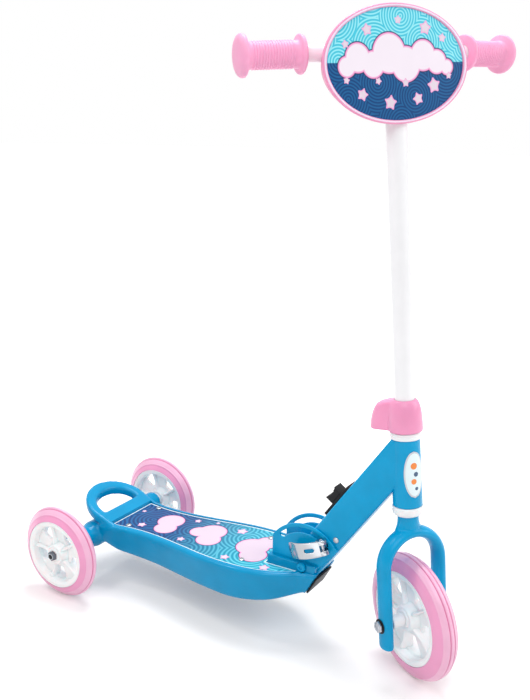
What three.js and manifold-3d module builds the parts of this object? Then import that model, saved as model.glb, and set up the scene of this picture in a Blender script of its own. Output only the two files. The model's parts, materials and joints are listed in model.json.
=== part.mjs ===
// A children's scooter with three wheels: one steered wheel in front, two behind on one axle,
// a moulded deck with a carrying handle, and a column that folds back over the deck.
// Millimetres, +Z up, +Y towards the rear, the rider's left on +X. The steering is turned to the
// rider's right, as the scooter stands. The origin is under the middle of the whole, on the floor.
import * as THREE from 'three';
import { mergeVertices } from 'three/addons/utils/BufferGeometryUtils.js';
import Module from 'manifold-3d';

const wasm = await Module();
wasm.setup();

// General clearances.
const seatGap = 0.3;
const runningGap = 0.4;
const cutOverrun = 3;

// Rear wheels.
const rearAxleBack = 382;
const rearTyreRadius = 58.5;
const rearTyreHalfWidth = 12.5;
const rearRimRadius = 43.2;
const rearHubRadius = 12;
const rearHubHalfWidth = 13.5;
const housingHalfLength = 82;
const housingWasherSpace = 5;
const rearWheelSide = housingHalfLength + housingWasherSpace + rearHubHalfWidth;
const rearAxleRadius = 4;
const rearBushWall = 1.6;

// Front wheel and steering axis.
const frontTyreRadius = 70;
const frontTyreHalfWidth = 13.5;
const frontRimRadius = 52;
const frontHubRadius = 14;
const frontHubHalfWidth = 14;
const frontAxleRadius = 4;
const frontBushWall = 1.6;
const steeringForward = 46.8;
const steeringLean = THREE.MathUtils.degToRad(5.88);
const steeringTurn = THREE.MathUtils.degToRad(-30.9);
const frontWheelLead = 3.3;

// Wheels in common.
const tyreBedDepth = 3.2;
const rimLipHeight = 1.2;
const rimWall = 3.4;
const spokeCount = 5;
const spokeWebHalf = 3.2;
const spokeRootHalf = 7.5;
const spokeTipHalf = 9.5;
const hubFlare = 3;
const windowRound = 5;
const spokeDish = 4.5;
const treadGrooveDepth = 0.9;
const treadGrooveHalf = 0.8;
const treadGrooveSpacing = 4.4;

// Deck.
const deckTopAtFront = 90.9;
const deckFrontMark = 77;
const deckSlope = 0.0427;
const deckEdgeRound = 5;
const deckWall = 2.6;
const deckRimHeight = 1.2;
const deckDraft = 3;
const deckNose = 50;
const deckTail = 366;
const deckDepthMax = 42;
const deckHalfWidthMax = 57.5;
const ribThickness = 2.4;
const ribDepth = 18;
const printThickness = 1.2;
const printBorder = 7.5;
const printRear = 352;
const printFront = 86;
const deckScrewRadius = 3.6;
const deckScrewHead = 1.6;
const deckScrewShank = 1.8;
const deckScrewLength = 12;

// Carrying handle at the rear of the deck.
const handleRootBack = 346;
const handleCentreBack = 374;
const handleHalfWidth = 46;
const handleReach = 415;
const handleSlope = 0.38;
const handleThickness = 14;
const gripHoleFront = 369;
const gripHoleHalfWidth = 33;
const gripHoleBack = 401;

// Axle housing under the handle.
const housingRadius = 13.5;
const housingRootRadius = 17;
const housingRootHalf = 44;

// Fold bracket: a steel channel with two round cheeks, let into the front of the deck.
const pivotBack = 80;
const pivotHeight = 97;
const cheekRadius = 50.4;
const cheekInner = 14.4;
const plateThickness = 2.4;
const channelFloorTop = 74.2;
const slotRadius = 42.4;
const slotHalfWidth = 3.2;
const foldSwing = THREE.MathUtils.degToRad(83);
const skewerAngle = THREE.MathUtils.degToRad(128);
const cheekRearBack = 123;
const noseTopBack = 64.1;
const noseTopHeight = 85.4;
const noseCornerRise = 9.2;
const noseCornerHeight = noseTopHeight + noseCornerRise;
const noseFootBack = 75;
const noseFootHeight = 65;
const collarThickness = 5;
const collarTopRise = 14.2;
const collarTop = noseTopHeight + collarTopRise;
const collarFrontBack = 61.5;
const collarFrontRise = 15.6;
const collarFrontTop = noseTopHeight + collarFrontRise;
const pivotBoltRadius = 4;
const pivotHeadRadius = 5.6;
const pivotNutRadius = 7.2;
const pivotHeadThickness = 3.4;
const padThickness = 2.4;
const padHalfWidth = 19;
const baseScrewRadius = 3.4;
const baseScrewHead = 2;
const baseScrewShank = 1.8;
const baseScrewLength = 9;

// Neck and head tube.
const neckHalfWidth = 14;
const neckUpperOffset = 18.6;
const neckLowerOffset = 18.4;
const neckAngle = THREE.MathUtils.degToRad(124);
const neckEdge = 2.4;
const headBottom = 128.6;
const headTop = 202.7;
const headRadiusBottom = 15.9;
const headRadiusTop = 15.2;
const headBore = 12.4;
const lowerCupBottom = 118.2;
const lowerCupRadiusBottom = 14.4;
const lowerCupRadiusTop = 16.6;
const upperCupHeight = 7.9;
const upperCupRadius = 16.4;
const neckPinRadius = 2;
const neckPinHead = 3.4;
const neckPinCrownShare = 0.7;
const neckPinHeadThickness = 1.3;
const neckPinBack = 42.1;
const neckPinHeight = 138.4;
const badgeThickness = 0.7;
const badgeHalfWidth = 11.6;
const badgeHalfHeight = 25.4;
const badgeCentreHeight = 166.6;
const badgeTurn = THREE.MathUtils.degToRad(-37);

// Skewer and quick release lever.
const skewerRadius = 2.6;
const skewerHead = 27;
const skewerNutRadius = 7;
const skewerNutThickness = 8;
const camRadius = 6.2;
const camCutShare = 4;
const camCutShift = 3;
const camHalfLength = 8.6;
const camPinRadius = 2.2;
const leverLength = 50;
const leverThickness = 2;
const leverRootHalfWidth = 8.8;
const leverTipHalfWidth = 9.6;
const leverBow = 7;
const leverTurn = THREE.MathUtils.degToRad(-19);
const leverSlotLength = 9;
const leverSlotHalfWidth = 2.6;
const forkSlotHalf = 3.4;

// Fold latch on the neck.
const latchBaseStart = 66.7;
const latchBaseEnd = 113.2;
const latchBaseThickness = 3;
const latchBaseHalfWidth = 10;
const latchBlockStart = 82.3;
const latchBlockLength = 17.5;
const latchBlockHeight = 10.2;
const latchBlockHalfWidth = 8;
const latchScoop = 2.2;
const latchTravel = 6;

// Fork.
const legSide = 35.5;
const legHalfAcross = 6.5;
const legHalfDeep = 10.5;
const archCentre = 63;
const legFoot = 28;
const steererRadius = 11.4;
const steererTop = 222;
const forkAxleHead = 6.5;
const forkAxleHeadThickness = 4;
const legWasherRadius = 8;
const legWasherThickness = 1.2;
const spacerRadius = 7;

// Column, handlebar and grips.
const columnRadius = 10.5;
const columnWall = 1.5;
const columnFoot = 140;
const barHeight = 589.7;
const barRadius = 8.2;
const barWall = 1.4;
const armSweep = THREE.MathUtils.degToRad(9.2);
const barBend = 14;
const gripInner = 94.4;
const gripOuter = 154.9;
const gripRadius = 12.4;
const gripFlangeRadius = 18.4;
const gripEndRadius = 19.7;
const gripFlangeThickness = 4.2;
const gripEndThickness = 9;
const gripRibHeight = 1.1;
const gripRibCount = 9;
const gripPlain = 5;
const gripEdge = 1;

// Clamp and its cover.
const coverBottom = 211.2;
const coverRadius = 18.5;
const coverTop = 245;
const coverTopRadius = 11.2;
const coverWall = 1.8;
const lobeReach = 39.5;
const lobeHalfWidth = 11;
const lobeHeight = 32.6;
const coverTurn = THREE.MathUtils.degToRad(30.9);
const clampBottom = 212.6;
const clampHeight = 11;
const clampThickness = 4;
const clampLugReach = 24;
const clampLugHalf = 5.2;
const clampSlit = 2.4;
const clampBoltRadius = 2;
const clampBoltHead = 3.6;

// Front plate.
const plateHalfWidth = 82.9;
const plateHalfHeight = 55.2;
const plateSide = -6;
const plateDrop = 13;
const plateFront = 15;
const plateBack = 12;
const plateRim = 3.5;
const plateBevel = 1.8;
const plateRecess = 2;
const plateWall = 2.4;
const picturePanel = 1.4;
const plateScrewRadius = 3;
const plateScrewHead = 1.6;

// Facets.
const roundSides = 14;
const fineSides = 24;
const smallSides = 8;
const arcStepShare = 0.27;

// Further sizes of the pieces above.
const tyreLipWidth = 1.6;
const bushClearance = 0.15;
const sidewallShares = [1, 0.82];
const rearShoulderShare = 1.4;
const frontShoulderShare = 2.2;
const frontCrownShare = 1.6;
const windowShare = 0.85;
const spokeStart = THREE.MathUtils.degToRad(90);
const hexSides = 6;
const hubSides = 12;
const axleNutThickness = 5;
const axleNutRadius = 6.4;
const rearWasherRadius = 8;
const deckFootRound = 3;
const deckStation = 27;
const pocketWall = 4;
const scallopReach = 6;
const deckWidthShares = [
  [0, 0.391], [0.038, 0.435], [0.092, 0.52], [0.127, 0.643], [0.199, 0.852], [0.282, 0.965], [0.373, 1],
  [0.478, 0.965], [0.601, 0.861], [0.728, 0.765], [0.845, 0.748], [0.946, 0.809], [1, 0.835],
];
const deckDepthShares = [
  [0, 0.6], [0.08, 0.62], [0.187, 0.86], [0.32, 0.993], [0.446, 0.976], [0.687, 0.936], [0.905, 0.845],
  [0.984, 0.66], [1, 0.585],
];
const handleSkirt = 3.2;
const handleSkin = 6;
const gripHoleShare = 0.8;
const housingFlareEnd = 52;
const housingWebDrop = 11;
const collarLean = 1.5;
const noseCutReach = 30;
const deckScrewRearSide = 30.5;
const deckScrewRearBack = 331;
const deckScrewFrontSide = 33;
const deckScrewFrontBack = 155;
const ribCount = 4;
const ribFirst = 160;
const ribLast = 350;
const ribSpread = 22;
const bossRadius = 5;
const baseScrewBacks = [98, 112];
const slotPlay = THREE.MathUtils.degToRad(0.6);
const padGap = 0.3;
const lowerCupRim = 120.6;
const cupEdge = 1;
const latchTongueLength = 9;
const latchTongueHalf = 3;
const leverSteps = 8;
const leverCornerShare = 0.6;
const camBridgeShare = 0.35;
const leverSlotStart = 8;
const footStops = [[0.74, 0], [0.93, 0.8], [1, 3]];
const archSteps = 11;
const crownStops = [[97, 17.5, 10.2], [101.5, 15.6, 10.8], [105, 13.2, 11.2], [109, 11.9, 11.4],
  [113, 11.2, 11.2]];
const barReach = 149;
const gripRibShare = 0.5;
const gripSides = 12;
const clampBoltBack = 19.5;
const clampBoltHeadThickness = 1.4;
const domeShares = [[0.42, 0.93], [0.68, 0.76], [0.86, 0.5], [0.96, 0.2], [1, 0]];
const lobeShares = [[0, 1], [0.24, 0.98], [0.45, 0.94], [0.67, 0.87], [0.84, 0.77], [0.94, 0.63], [1, 0.45]];
const ovalSides = 30;
const plateEdge = 1.1;
const plateSplit = 1;
const plateTaper = 4.9;
const plateBackTaper = 9;
const plateBackInset = 11;
const plateSideShare = 1.4;
const plateLedge = 14;
const plateScrewInset = 23;
const plateScrewDrop = 10;
const plateScrewShank = 1.5;
const plateScrewReach = 7;

const colours = {
  blue: 0x0092cf,
  pink: 0xf2a1c6,
  tyrePink: 0xf29cc4,
  white: 0xf4f4f6,
  black: 0x1c1c20,
  steel: 0xb9bcc2,
  darkSteel: 0x6d7076,
  print: 0x15688f,
};

function finish(colour, roughness, metalness) {
  return new THREE.MeshStandardMaterial({ color: colour, roughness, metalness });
}

const gloss = 0.3;
const satin = 0.5;
const matt = 0.75;
const polished = 0.2;

const weld = 1e-4;

// Takes a geometry down to closed, merged triangles facing out.
function closedGeometry(source) {
  const bare = source.index ? source.toNonIndexed() : source.clone();
  for (const name of Object.keys(bare.attributes)) {
    if (name !== 'position') bare.deleteAttribute(name);
  }
  const merged = mergeVertices(bare, weld);
  const index = merged.index.array;
  const kept = [];
  for (let i = 0; i < index.length; i += 3) {
    const [a, b, c] = [index[i], index[i + 1], index[i + 2]];
    if (a !== b && b !== c && c !== a) kept.push(a, b, c);
  }
  const place = merged.attributes.position;
  let volume = 0;
  const [p, q, r] = [new THREE.Vector3(), new THREE.Vector3(), new THREE.Vector3()];
  for (let i = 0; i < kept.length; i += 3) {
    p.fromBufferAttribute(place, kept[i]);
    q.fromBufferAttribute(place, kept[i + 1]);
    r.fromBufferAttribute(place, kept[i + 2]);
    volume += p.dot(q.cross(r));
  }
  if (volume < 0) {
    for (let i = 0; i < kept.length; i += 3) [kept[i + 1], kept[i + 2]] = [kept[i + 2], kept[i + 1]];
  }
  merged.setIndex(kept);
  return merged;
}

function solidOf(geometry) {
  const clean = closedGeometry(geometry);
  return new wasm.Manifold(new wasm.Mesh({
    numProp: 3,
    vertProperties: new Float32Array(clean.attributes.position.array),
    triVerts: new Uint32Array(clean.index.array),
  }));
}

function geometryOf(solid) {
  const mesh = solid.getMesh();
  const geometry = new THREE.BufferGeometry();
  geometry.setAttribute('position', new THREE.BufferAttribute(new Float32Array(mesh.vertProperties), 3));
  geometry.setIndex([...mesh.triVerts]);
  return geometry;
}

function joined(first, ...others) {
  return others.reduce((whole, piece) => whole.add(piece), first);
}

function cut(first, ...others) {
  return others.reduce((whole, piece) => whole.subtract(piece), first);
}

function moved(geometry, x, y, z) {
  return geometry.applyMatrix4(new THREE.Matrix4().makeTranslation(x, y, z));
}

// Stands a geometry made along +Y (lathes, cylinders) on another axis.
const alongX = (geometry) => geometry.applyMatrix4(new THREE.Matrix4().makeRotationZ(-Math.PI / 2));
const alongZ = (geometry) => geometry.applyMatrix4(new THREE.Matrix4().makeRotationX(Math.PI / 2));

function rod(radius, length, sides = roundSides) {
  return new THREE.CylinderGeometry(radius, radius, length, sides);
}

// A rod along X between two places, round a centre line at y, z.
function crossRod(radius, from, to, y, z, sides = roundSides) {
  return moved(alongX(rod(radius, to - from, sides)), (from + to) / 2, y, z);
}

function uprightRod(radius, from, to, x, y, sides = roundSides) {
  return moved(alongZ(rod(radius, to - from, sides)), x, y, (from + to) / 2);
}

function lathe(points, sides = fineSides) {
  return new THREE.LatheGeometry(points.map(([r, h]) => new THREE.Vector2(r, h)), sides);
}

// A turned shape about X; the profile is given as radius and place along X.
const turnedX = (points, sides) => alongX(lathe(points, sides));
const turnedZ = (points, sides) => alongZ(lathe(points, sides));

// A side outline in (y, z), thickened along X between two places.
function sidePlate(shape, from, to, edge = 0) {
  const geometry = new THREE.ExtrudeGeometry(shape, {
    depth: to - from - 2 * edge,
    bevelEnabled: edge > 0,
    bevelThickness: edge,
    bevelSize: edge,
    bevelOffset: -edge,
    bevelSegments: 2,
    curveSegments: roundSides / 2,
  });
  moved(geometry, 0, 0, from + edge);
  const axes = [new THREE.Vector3(0, 1, 0), new THREE.Vector3(0, 0, 1), new THREE.Vector3(1, 0, 0)];
  return geometry.applyMatrix4(new THREE.Matrix4().makeBasis(...axes));
}

// Rings of points, all of one count, skinned and capped at both ends.
function loft(rings) {
  const count = rings[0].length;
  const places = rings.flat().flatMap((p) => [p.x, p.y, p.z]);
  const faces = [];
  for (let i = 0; i + 1 < rings.length; i += 1) {
    for (let j = 0; j < count; j += 1) {
      const a = i * count + j;
      const b = i * count + ((j + 1) % count);
      faces.push(a, b, a + count, b, b + count, a + count);
    }
  }
  const last = (rings.length - 1) * count;
  for (let j = 1; j + 1 < count; j += 1) {
    faces.push(0, j + 1, j);
    faces.push(last, last + j, last + j + 1);
  }
  const geometry = new THREE.BufferGeometry();
  geometry.setAttribute('position', new THREE.Float32BufferAttribute(places, 3));
  geometry.setIndex(faces);
  return geometry;
}

function polygon(points) {
  return new THREE.Shape(points.map(([x, y]) => new THREE.Vector2(x, y)));
}

function polar(radius, angle, x = 0, y = 0) {
  return [x + radius * Math.cos(angle), y + radius * Math.sin(angle)];
}

function arc(radius, from, to, x = 0, y = 0, step = arcStepShare) {
  const count = Math.max(2, Math.ceil(Math.abs(to - from) / step));
  return Array.from({ length: count + 1 }, (_, i) => polar(radius, from + ((to - from) * i) / count, x, y));
}

// Values that run evenly between given stations.
function between(stations, at) {
  const last = stations.length - 1;
  let i = stations.findIndex(([place]) => place >= at);
  if (i < 0) i = last;
  i = Math.max(1, i);
  const [[x0, y0], [x1, y1]] = [stations[i - 1], stations[i]];
  const t = THREE.MathUtils.clamp((at - x0) / (x1 - x0), 0, 1);
  return y0 + (y1 - y0) * t;
}

const scooter = new THREE.Group();

function addPiece(parent, name, shape, colour, roughness, metalness = 0) {
  const geometry = shape.isBufferGeometry ? closedGeometry(shape) : closedGeometry(geometryOf(shape));
  geometry.computeVertexNormals();
  const mesh = new THREE.Mesh(geometry, finish(colour, roughness, metalness));
  mesh.name = name;
  parent.add(mesh);
  return mesh;
}

// Frames.

const wheelTilt = Math.asin(Math.sin(steeringTurn) * Math.sin(steeringLean));
const frontAxleHeight = frontTyreRadius * Math.cos(wheelTilt);
const headFrame = new THREE.Matrix4()
  .makeTranslation(0, -steeringForward, frontAxleHeight)
  .multiply(new THREE.Matrix4().makeRotationX(-steeringLean));

const head = new THREE.Group();
head.position.set(0, -steeringForward, frontAxleHeight);
head.rotation.x = -steeringLean;
scooter.add(head);
const steered = new THREE.Group();
steered.rotation.z = steeringTurn;
head.add(steered);

// Wheels, turned about X at the origin.

function tyreProfile(size) {
  const bed = size.rimRadius - tyreBedDepth + seatGap;
  const lipInner = size.halfWidth - tyreLipWidth - seatGap;
  const crown = size.tyreRadius - size.rimRadius;
  const points = [[bed, -lipInner], [size.rimRadius + seatGap, -lipInner]];
  const places = [];
  for (const share of sidewallShares) places.push(-size.halfWidth * share);
  for (let i = -1; i <= 1; i += 2) {
    for (let j = -1; j <= 1; j += 1) places.push(i * treadGrooveSpacing + j * treadGrooveHalf);
  }
  places.push(0);
  for (const share of sidewallShares) places.push(size.halfWidth * share);
  places.sort((a, b) => a - b);
  for (const at of places) {
    const s = Math.abs(at) / size.halfWidth;
    const rise = (1 - s ** size.shoulderPower) ** (1 / size.crownPower);
    const inGroove = Math.abs(Math.abs(at) - treadGrooveSpacing) < treadGrooveHalf / 2;
    const radius = size.rimRadius + seatGap + (crown - seatGap) * rise;
    points.push([radius - (inGroove ? treadGrooveDepth : 0), at]);
  }
  points.push([size.rimRadius + seatGap, lipInner], [bed, lipInner], points[0]);
  return points;
}

function rimSolid(size) {
  const bed = size.rimRadius - tyreBedDepth;
  const lipInner = size.halfWidth - tyreLipWidth;
  const face = size.halfWidth;
  const inner = bed - rimWall;
  const ring = turnedX([
    [inner, -face + rimLipHeight], [bed, -face], [size.rimRadius, -face], [size.rimRadius, -lipInner],
    [bed, -lipInner], [bed, lipInner], [size.rimRadius, lipInner], [size.rimRadius, face],
    [bed, face], [inner, face - rimLipHeight], [inner, -face + rimLipHeight],
  ], fineSides);
  const hub = turnedX([
    [0, -size.hubHalfWidth], [size.hubRadius, -size.hubHalfWidth],
    [size.hubRadius, -size.hubHalfWidth + hubFlare], [size.hubRadius + hubFlare, -spokeWebHalf],
    [size.hubRadius + hubFlare, spokeWebHalf], [size.hubRadius, size.hubHalfWidth - hubFlare],
    [size.hubRadius, size.hubHalfWidth], [0, size.hubHalfWidth],
  ], hubSides);
  const web = new THREE.Shape().absarc(0, 0, inner + seatGap, 0, 2 * Math.PI);
  const sector = (2 * Math.PI) / spokeCount;
  const windowInner = size.hubRadius + hubFlare + spokeDish;
  const windowOuter = inner - rimWall / 2;
  for (let i = 0; i < spokeCount; i += 1) {
    const middle = (i + 0.5) * sector;
    const halfOut = sector / 2 - spokeTipHalf / windowOuter;
    const halfIn = sector / 2 - spokeRootHalf / windowInner;
    const round = windowRound / windowOuter;
    const outer = arc(windowOuter, middle - halfOut + round, middle + halfOut - round);
    const corner = (side) => polar(windowOuter - windowRound / 2, middle + side * (halfOut - round / 4));
    const hole = [...outer, corner(1), polar(windowInner + windowRound, middle + halfIn * windowShare),
      polar(windowInner, middle), polar(windowInner + windowRound, middle - halfIn * windowShare),
      corner(-1)];
    web.holes.push(new THREE.Path(hole.map(([x, y]) => new THREE.Vector2(x, y))));
  }
  const plate = new THREE.ExtrudeGeometry(web, {
    depth: 2 * spokeWebHalf, bevelEnabled: false, curveSegments: fineSides,
  });
  moved(plate, 0, 0, -spokeWebHalf);
  plate.applyMatrix4(new THREE.Matrix4().makeRotationY(Math.PI / 2));
  const ribs = [];
  for (let i = 0; i < spokeCount; i += 1) {
    const spoke = new THREE.Shape([
      [size.hubRadius - hubFlare, size.hubHalfWidth - hubFlare],
      [size.hubRadius - hubFlare, -size.hubHalfWidth + hubFlare],
      [inner + seatGap, -face + spokeDish], [inner + seatGap, face - spokeDish],
    ].map(([r, x]) => new THREE.Vector2(r, x)));
    const rib = new THREE.ExtrudeGeometry(spoke, { depth: rimWall, bevelEnabled: false });
    moved(rib, 0, 0, -rimWall / 2);
    const axes = [new THREE.Vector3(0, 1, 0), new THREE.Vector3(1, 0, 0), new THREE.Vector3(0, 0, -1)];
    rib.applyMatrix4(new THREE.Matrix4().makeBasis(...axes));
    rib.applyMatrix4(new THREE.Matrix4().makeRotationX(i * sector + spokeStart));
    ribs.push(solidOf(rib));
  }
  const bore = crossRod(size.boreRadius, -size.hubHalfWidth - cutOverrun, size.hubHalfWidth + cutOverrun, 0,
    0);
  return cut(joined(solidOf(ring), solidOf(hub), solidOf(plate), ...ribs), solidOf(bore));
}

function bushSolid(size) {
  const inner = size.axleRadius + bushClearance;
  const outer = size.boreRadius - bushClearance;
  const end = size.hubHalfWidth;
  return turnedX([[inner, -end], [outer, -end], [outer, end], [inner, end], [inner, -end]], roundSides);
}

function addWheel(parent, name, size) {
  const wheel = new THREE.Group();
  parent.add(wheel);
  addPiece(wheel, `${name}_rim`, rimSolid(size), colours.white, gloss);
  addPiece(wheel, `${name}_tyre`, turnedX(tyreProfile(size), fineSides), colours.tyrePink, satin);
  addPiece(wheel, `${name}_bush`, bushSolid(size), colours.steel, gloss, 1);
  return wheel;
}

const rearSize = {
  tyreRadius: rearTyreRadius,
  halfWidth: rearTyreHalfWidth,
  rimRadius: rearRimRadius,
  hubRadius: rearHubRadius,
  hubHalfWidth: rearHubHalfWidth,
  axleRadius: rearAxleRadius,
  boreRadius: rearAxleRadius + rearBushWall,
  shoulderPower: rearShoulderShare,
  crownPower: 1,
};
const frontSize = {
  tyreRadius: frontTyreRadius,
  halfWidth: frontTyreHalfWidth,
  rimRadius: frontRimRadius,
  hubRadius: frontHubRadius,
  hubHalfWidth: frontHubHalfWidth,
  axleRadius: frontAxleRadius,
  boreRadius: frontAxleRadius + frontBushWall,
  shoulderPower: frontShoulderShare,
  crownPower: frontCrownShare,
};

for (const [side, name] of [[-1, 'rear_wheel_right'], [1, 'rear_wheel_left']]) {
  const wheel = addWheel(scooter, name, rearSize);
  wheel.position.set(side * rearWheelSide, rearAxleBack, rearTyreRadius);
}
const frontWheel = addWheel(steered, 'front_wheel', frontSize);
frontWheel.position.set(0, -frontWheelLead, 0);

// Rear axle with its washers and nuts.

const rearHubOuter = rearWheelSide + rearHubHalfWidth;
const rearHubInner = rearWheelSide - rearHubHalfWidth;
addPiece(scooter, 'rear_axle', crossRod(rearAxleRadius, -rearHubOuter - axleNutThickness,
  rearHubOuter + axleNutThickness, rearAxleBack, rearTyreRadius), colours.steel, gloss, 1);
function ringX(inner, outer, from, to, y, z) {
  return moved(turnedX([[inner, from], [outer, from], [outer, to], [inner, to], [inner, from]], roundSides),
    0, y, z);
}
for (const [side, name] of [[-1, 'right'], [1, 'left']]) {
  const mirror = new THREE.Matrix4().makeScale(side, 1, 1);
  const washer = ringX(rearAxleRadius + seatGap, rearWasherRadius, housingHalfLength + seatGap,
    rearHubInner - seatGap, rearAxleBack, rearTyreRadius);
  addPiece(scooter, `rear_washer_${name}`, washer.applyMatrix4(mirror), colours.white, satin);
  const nut = nutX(rearAxleRadius + seatGap, axleNutRadius, rearHubOuter + seatGap,
    rearHubOuter + axleNutThickness, rearAxleBack, rearTyreRadius);
  addPiece(scooter, `rear_nut_${name}`, geometryOf(nut).applyMatrix4(mirror), colours.darkSteel, satin, 1);
}

// A nut: a hexagon with a round bore.
function nutX(bore, across, from, to, y, z) {
  return cut(solidOf(crossRod(across, from, to, y, z, hexSides)),
    solidOf(crossRod(bore, from - cutOverrun, to + cutOverrun, y, z)));
}

// Deck.

const deckLength = deckTail - deckNose;
const deckTop = (back) => deckTopAtFront - deckSlope * (back - deckFrontMark);
const deckHalfWidth = (back) => deckHalfWidthMax * between(deckWidthShares, (back - deckNose) / deckLength);
const deckDepth = (back) => deckDepthMax * between(deckDepthShares, (back - deckNose) / deckLength);

function deckRing(back, inset) {
  const width = deckHalfWidth(back) - inset;
  const top = deckTop(back) + deckRimHeight - inset * (1 + deckRimHeight / deckWall);
  const bottom = deckTop(back) - deckDepth(back) - (inset > 0 ? cutOverrun : 0);
  const foot = width - deckDraft;
  const side = [[foot - deckFootRound, bottom], [foot, bottom + deckFootRound]];
  for (let i = 0; i <= 3; i += 1) {
    const angle = (i * Math.PI) / 6;
    side.push([width - deckEdgeRound * (1 - Math.cos(angle)), top - deckEdgeRound * (1 - Math.sin(angle))]);
  }
  const mirrored = side.map(([x, z]) => [-x, z]).reverse();
  return [...side, ...mirrored].map(([x, z]) => new THREE.Vector3(x, back, z));
}

function deckLoft(inset) {
  const first = inset > 0 ? cheekRearBack + pocketWall : deckNose;
  const last = deckTail - inset;
  const count = Math.round((last - first) / deckStation);
  const rings = [];
  for (let i = 0; i <= count; i += 1) rings.push(deckRing(first + ((last - first) * i) / count, inset));
  return solidOf(loft(rings));
}

// A plan outline thickened upwards and then tilted with a sloping surface.
function slopedPlate(shape, thickness, topAt, slope) {
  const plate = new THREE.ExtrudeGeometry(shape,
    { depth: thickness, bevelEnabled: false, curveSegments: roundSides });
  moved(plate, 0, 0, -thickness);
  const tilt = new THREE.Matrix4().set(1, 0, 0, 0, 0, 1, 0, 0, 0, slope, 1, topAt(0), 0, 0, 0, 1);
  return solidOf(plate.applyMatrix4(tilt));
}

const handleTop = (back) => deckTop(handleRootBack) + deckRimHeight + handleSlope * (back - handleRootBack);

function handleOutline(inset, grow = 0) {
  const width = handleHalfWidth - inset;
  const root = handleRootBack + inset - grow;
  const outline = [[-deckHalfWidth(handleRootBack) + inset, root],
    [deckHalfWidth(handleRootBack) - inset, root]];
  const reach = handleReach - handleCentreBack - inset;
  for (let i = 0; i <= roundSides; i += 1) {
    const angle = (Math.PI * i) / roundSides;
    outline.push([width * Math.cos(angle), handleCentreBack + reach * Math.sin(angle)]);
  }
  return polygon(outline);
}

function gripHole() {
  const reach = gripHoleBack - gripHoleFront;
  const outline = [];
  for (let i = 0; i <= roundSides; i += 1) {
    const angle = (Math.PI * i) / roundSides;
    outline.push([gripHoleHalfWidth * Math.cos(angle),
      gripHoleFront + reach * Math.sin(angle) ** gripHoleShare]);
  }
  return polygon(outline);
}

const handleSolid = cut(
  slopedPlate(handleOutline(0), handleThickness, handleTop, handleSlope),
  slopedPlate(handleOutline(handleSkirt), handleThickness, (back) => handleTop(back) - handleSkin,
    handleSlope),
  slopedPlate(gripHole(), handleThickness + 2 * cutOverrun, (back) => handleTop(back) + cutOverrun,
    handleSlope),
);

// Axle housing, flared where it leaves the deck.
const housing = solidOf(moved(turnedX([
  [0, -housingHalfLength], [housingRadius, -housingHalfLength], [housingRadius, -housingFlareEnd],
  [housingRootRadius, -housingRootHalf], [housingRootRadius, housingRootHalf],
  [housingRadius, housingFlareEnd], [housingRadius, housingHalfLength], [0, housingHalfLength],
], roundSides), 0, rearAxleBack, rearTyreRadius));
const housingBore = solidOf(crossRod(rearAxleRadius + seatGap, -housingHalfLength - cutOverrun,
  housingHalfLength + cutOverrun, rearAxleBack, rearTyreRadius));
const housingWeb = solidOf(sidePlate(polygon([
  [deckTail - deckWall, deckTop(deckTail) - deckDepth(deckTail)],
  [rearAxleBack, rearTyreRadius - housingWebDrop],
  [rearAxleBack + housingWebDrop, rearTyreRadius], [rearAxleBack, rearTyreRadius + housingRadius],
  [deckTail - deckWall, deckTop(deckTail) - deckWall],
]), -housingRootHalf, housingRootHalf));

// Front pocket for the bracket: a block inside the nose with a raised collar round the channel.
const cheekOuter = cheekInner + plateThickness;
const pocketHalf = cheekOuter + seatGap;
const collarOuter = pocketHalf + collarThickness;
const channelFloorBottom = channelFloorTop - plateThickness;
const noseRun = (noseFootBack - noseTopBack) / (noseTopHeight - noseFootHeight);
const noseBack = (height) => noseTopBack + (noseTopHeight - height) * noseRun;
const collarBack = cheekRearBack + pocketWall;
const collar = solidOf(sidePlate(polygon([
  [collarFrontBack, collarFrontTop], [noseTopBack, noseCornerHeight], [noseTopBack, noseTopHeight],
  [noseFootBack, noseFootHeight], [collarBack, noseFootHeight], [collarBack, deckTop(collarBack)],
  [collarBack - collarLean, collarTop],
]), -collarOuter, collarOuter));
const pocketFront = deckNose - noseCutReach;
const pocket = solidOf(sidePlate(polygon([
  [pocketFront, collarFrontTop + cutOverrun], [pocketFront, channelFloorBottom - seatGap],
  [cheekRearBack + seatGap, channelFloorBottom - seatGap],
  [cheekRearBack + seatGap, collarFrontTop + cutOverrun],
]), -pocketHalf, pocketHalf));
const noseCut = solidOf(sidePlate(polygon([
  [noseBack(noseTopHeight + noseCutReach), noseTopHeight + noseCutReach],
  [noseBack(noseFootHeight - noseCutReach), noseFootHeight - noseCutReach],
  [noseBack(noseFootHeight - noseCutReach) - 2 * noseCutReach, noseFootHeight - noseCutReach],
  [noseBack(noseTopHeight + noseCutReach) - 2 * noseCutReach, noseTopHeight + noseCutReach],
]), -deckHalfWidthMax, deckHalfWidthMax));

const deckScrewPlaces = [
  [-deckScrewRearSide, deckScrewRearBack], [deckScrewRearSide, deckScrewRearBack],
  [-deckScrewFrontSide, deckScrewFrontBack], [deckScrewFrontSide, deckScrewFrontBack],
];

function printOutline(inset) {
  const count = Math.round((printRear - printFront) / deckStation);
  const right = [];
  for (let i = 0; i <= count; i += 1) {
    const back = printFront + inset + ((printRear - printFront - 2 * inset) * i) / count;
    right.push([deckHalfWidth(back) - printBorder - inset, back]);
  }
  const left = right.map(([x, y]) => [-x, y]).reverse();
  const notch = collarOuter + seatGap + inset;
  const notchBack = collarBack + seatGap + inset;
  const front = printFront + inset;
  return polygon([...right, ...left, [-notch, front], [-notch, notchBack], [notch, notchBack],
    [notch, front]]);
}

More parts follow.
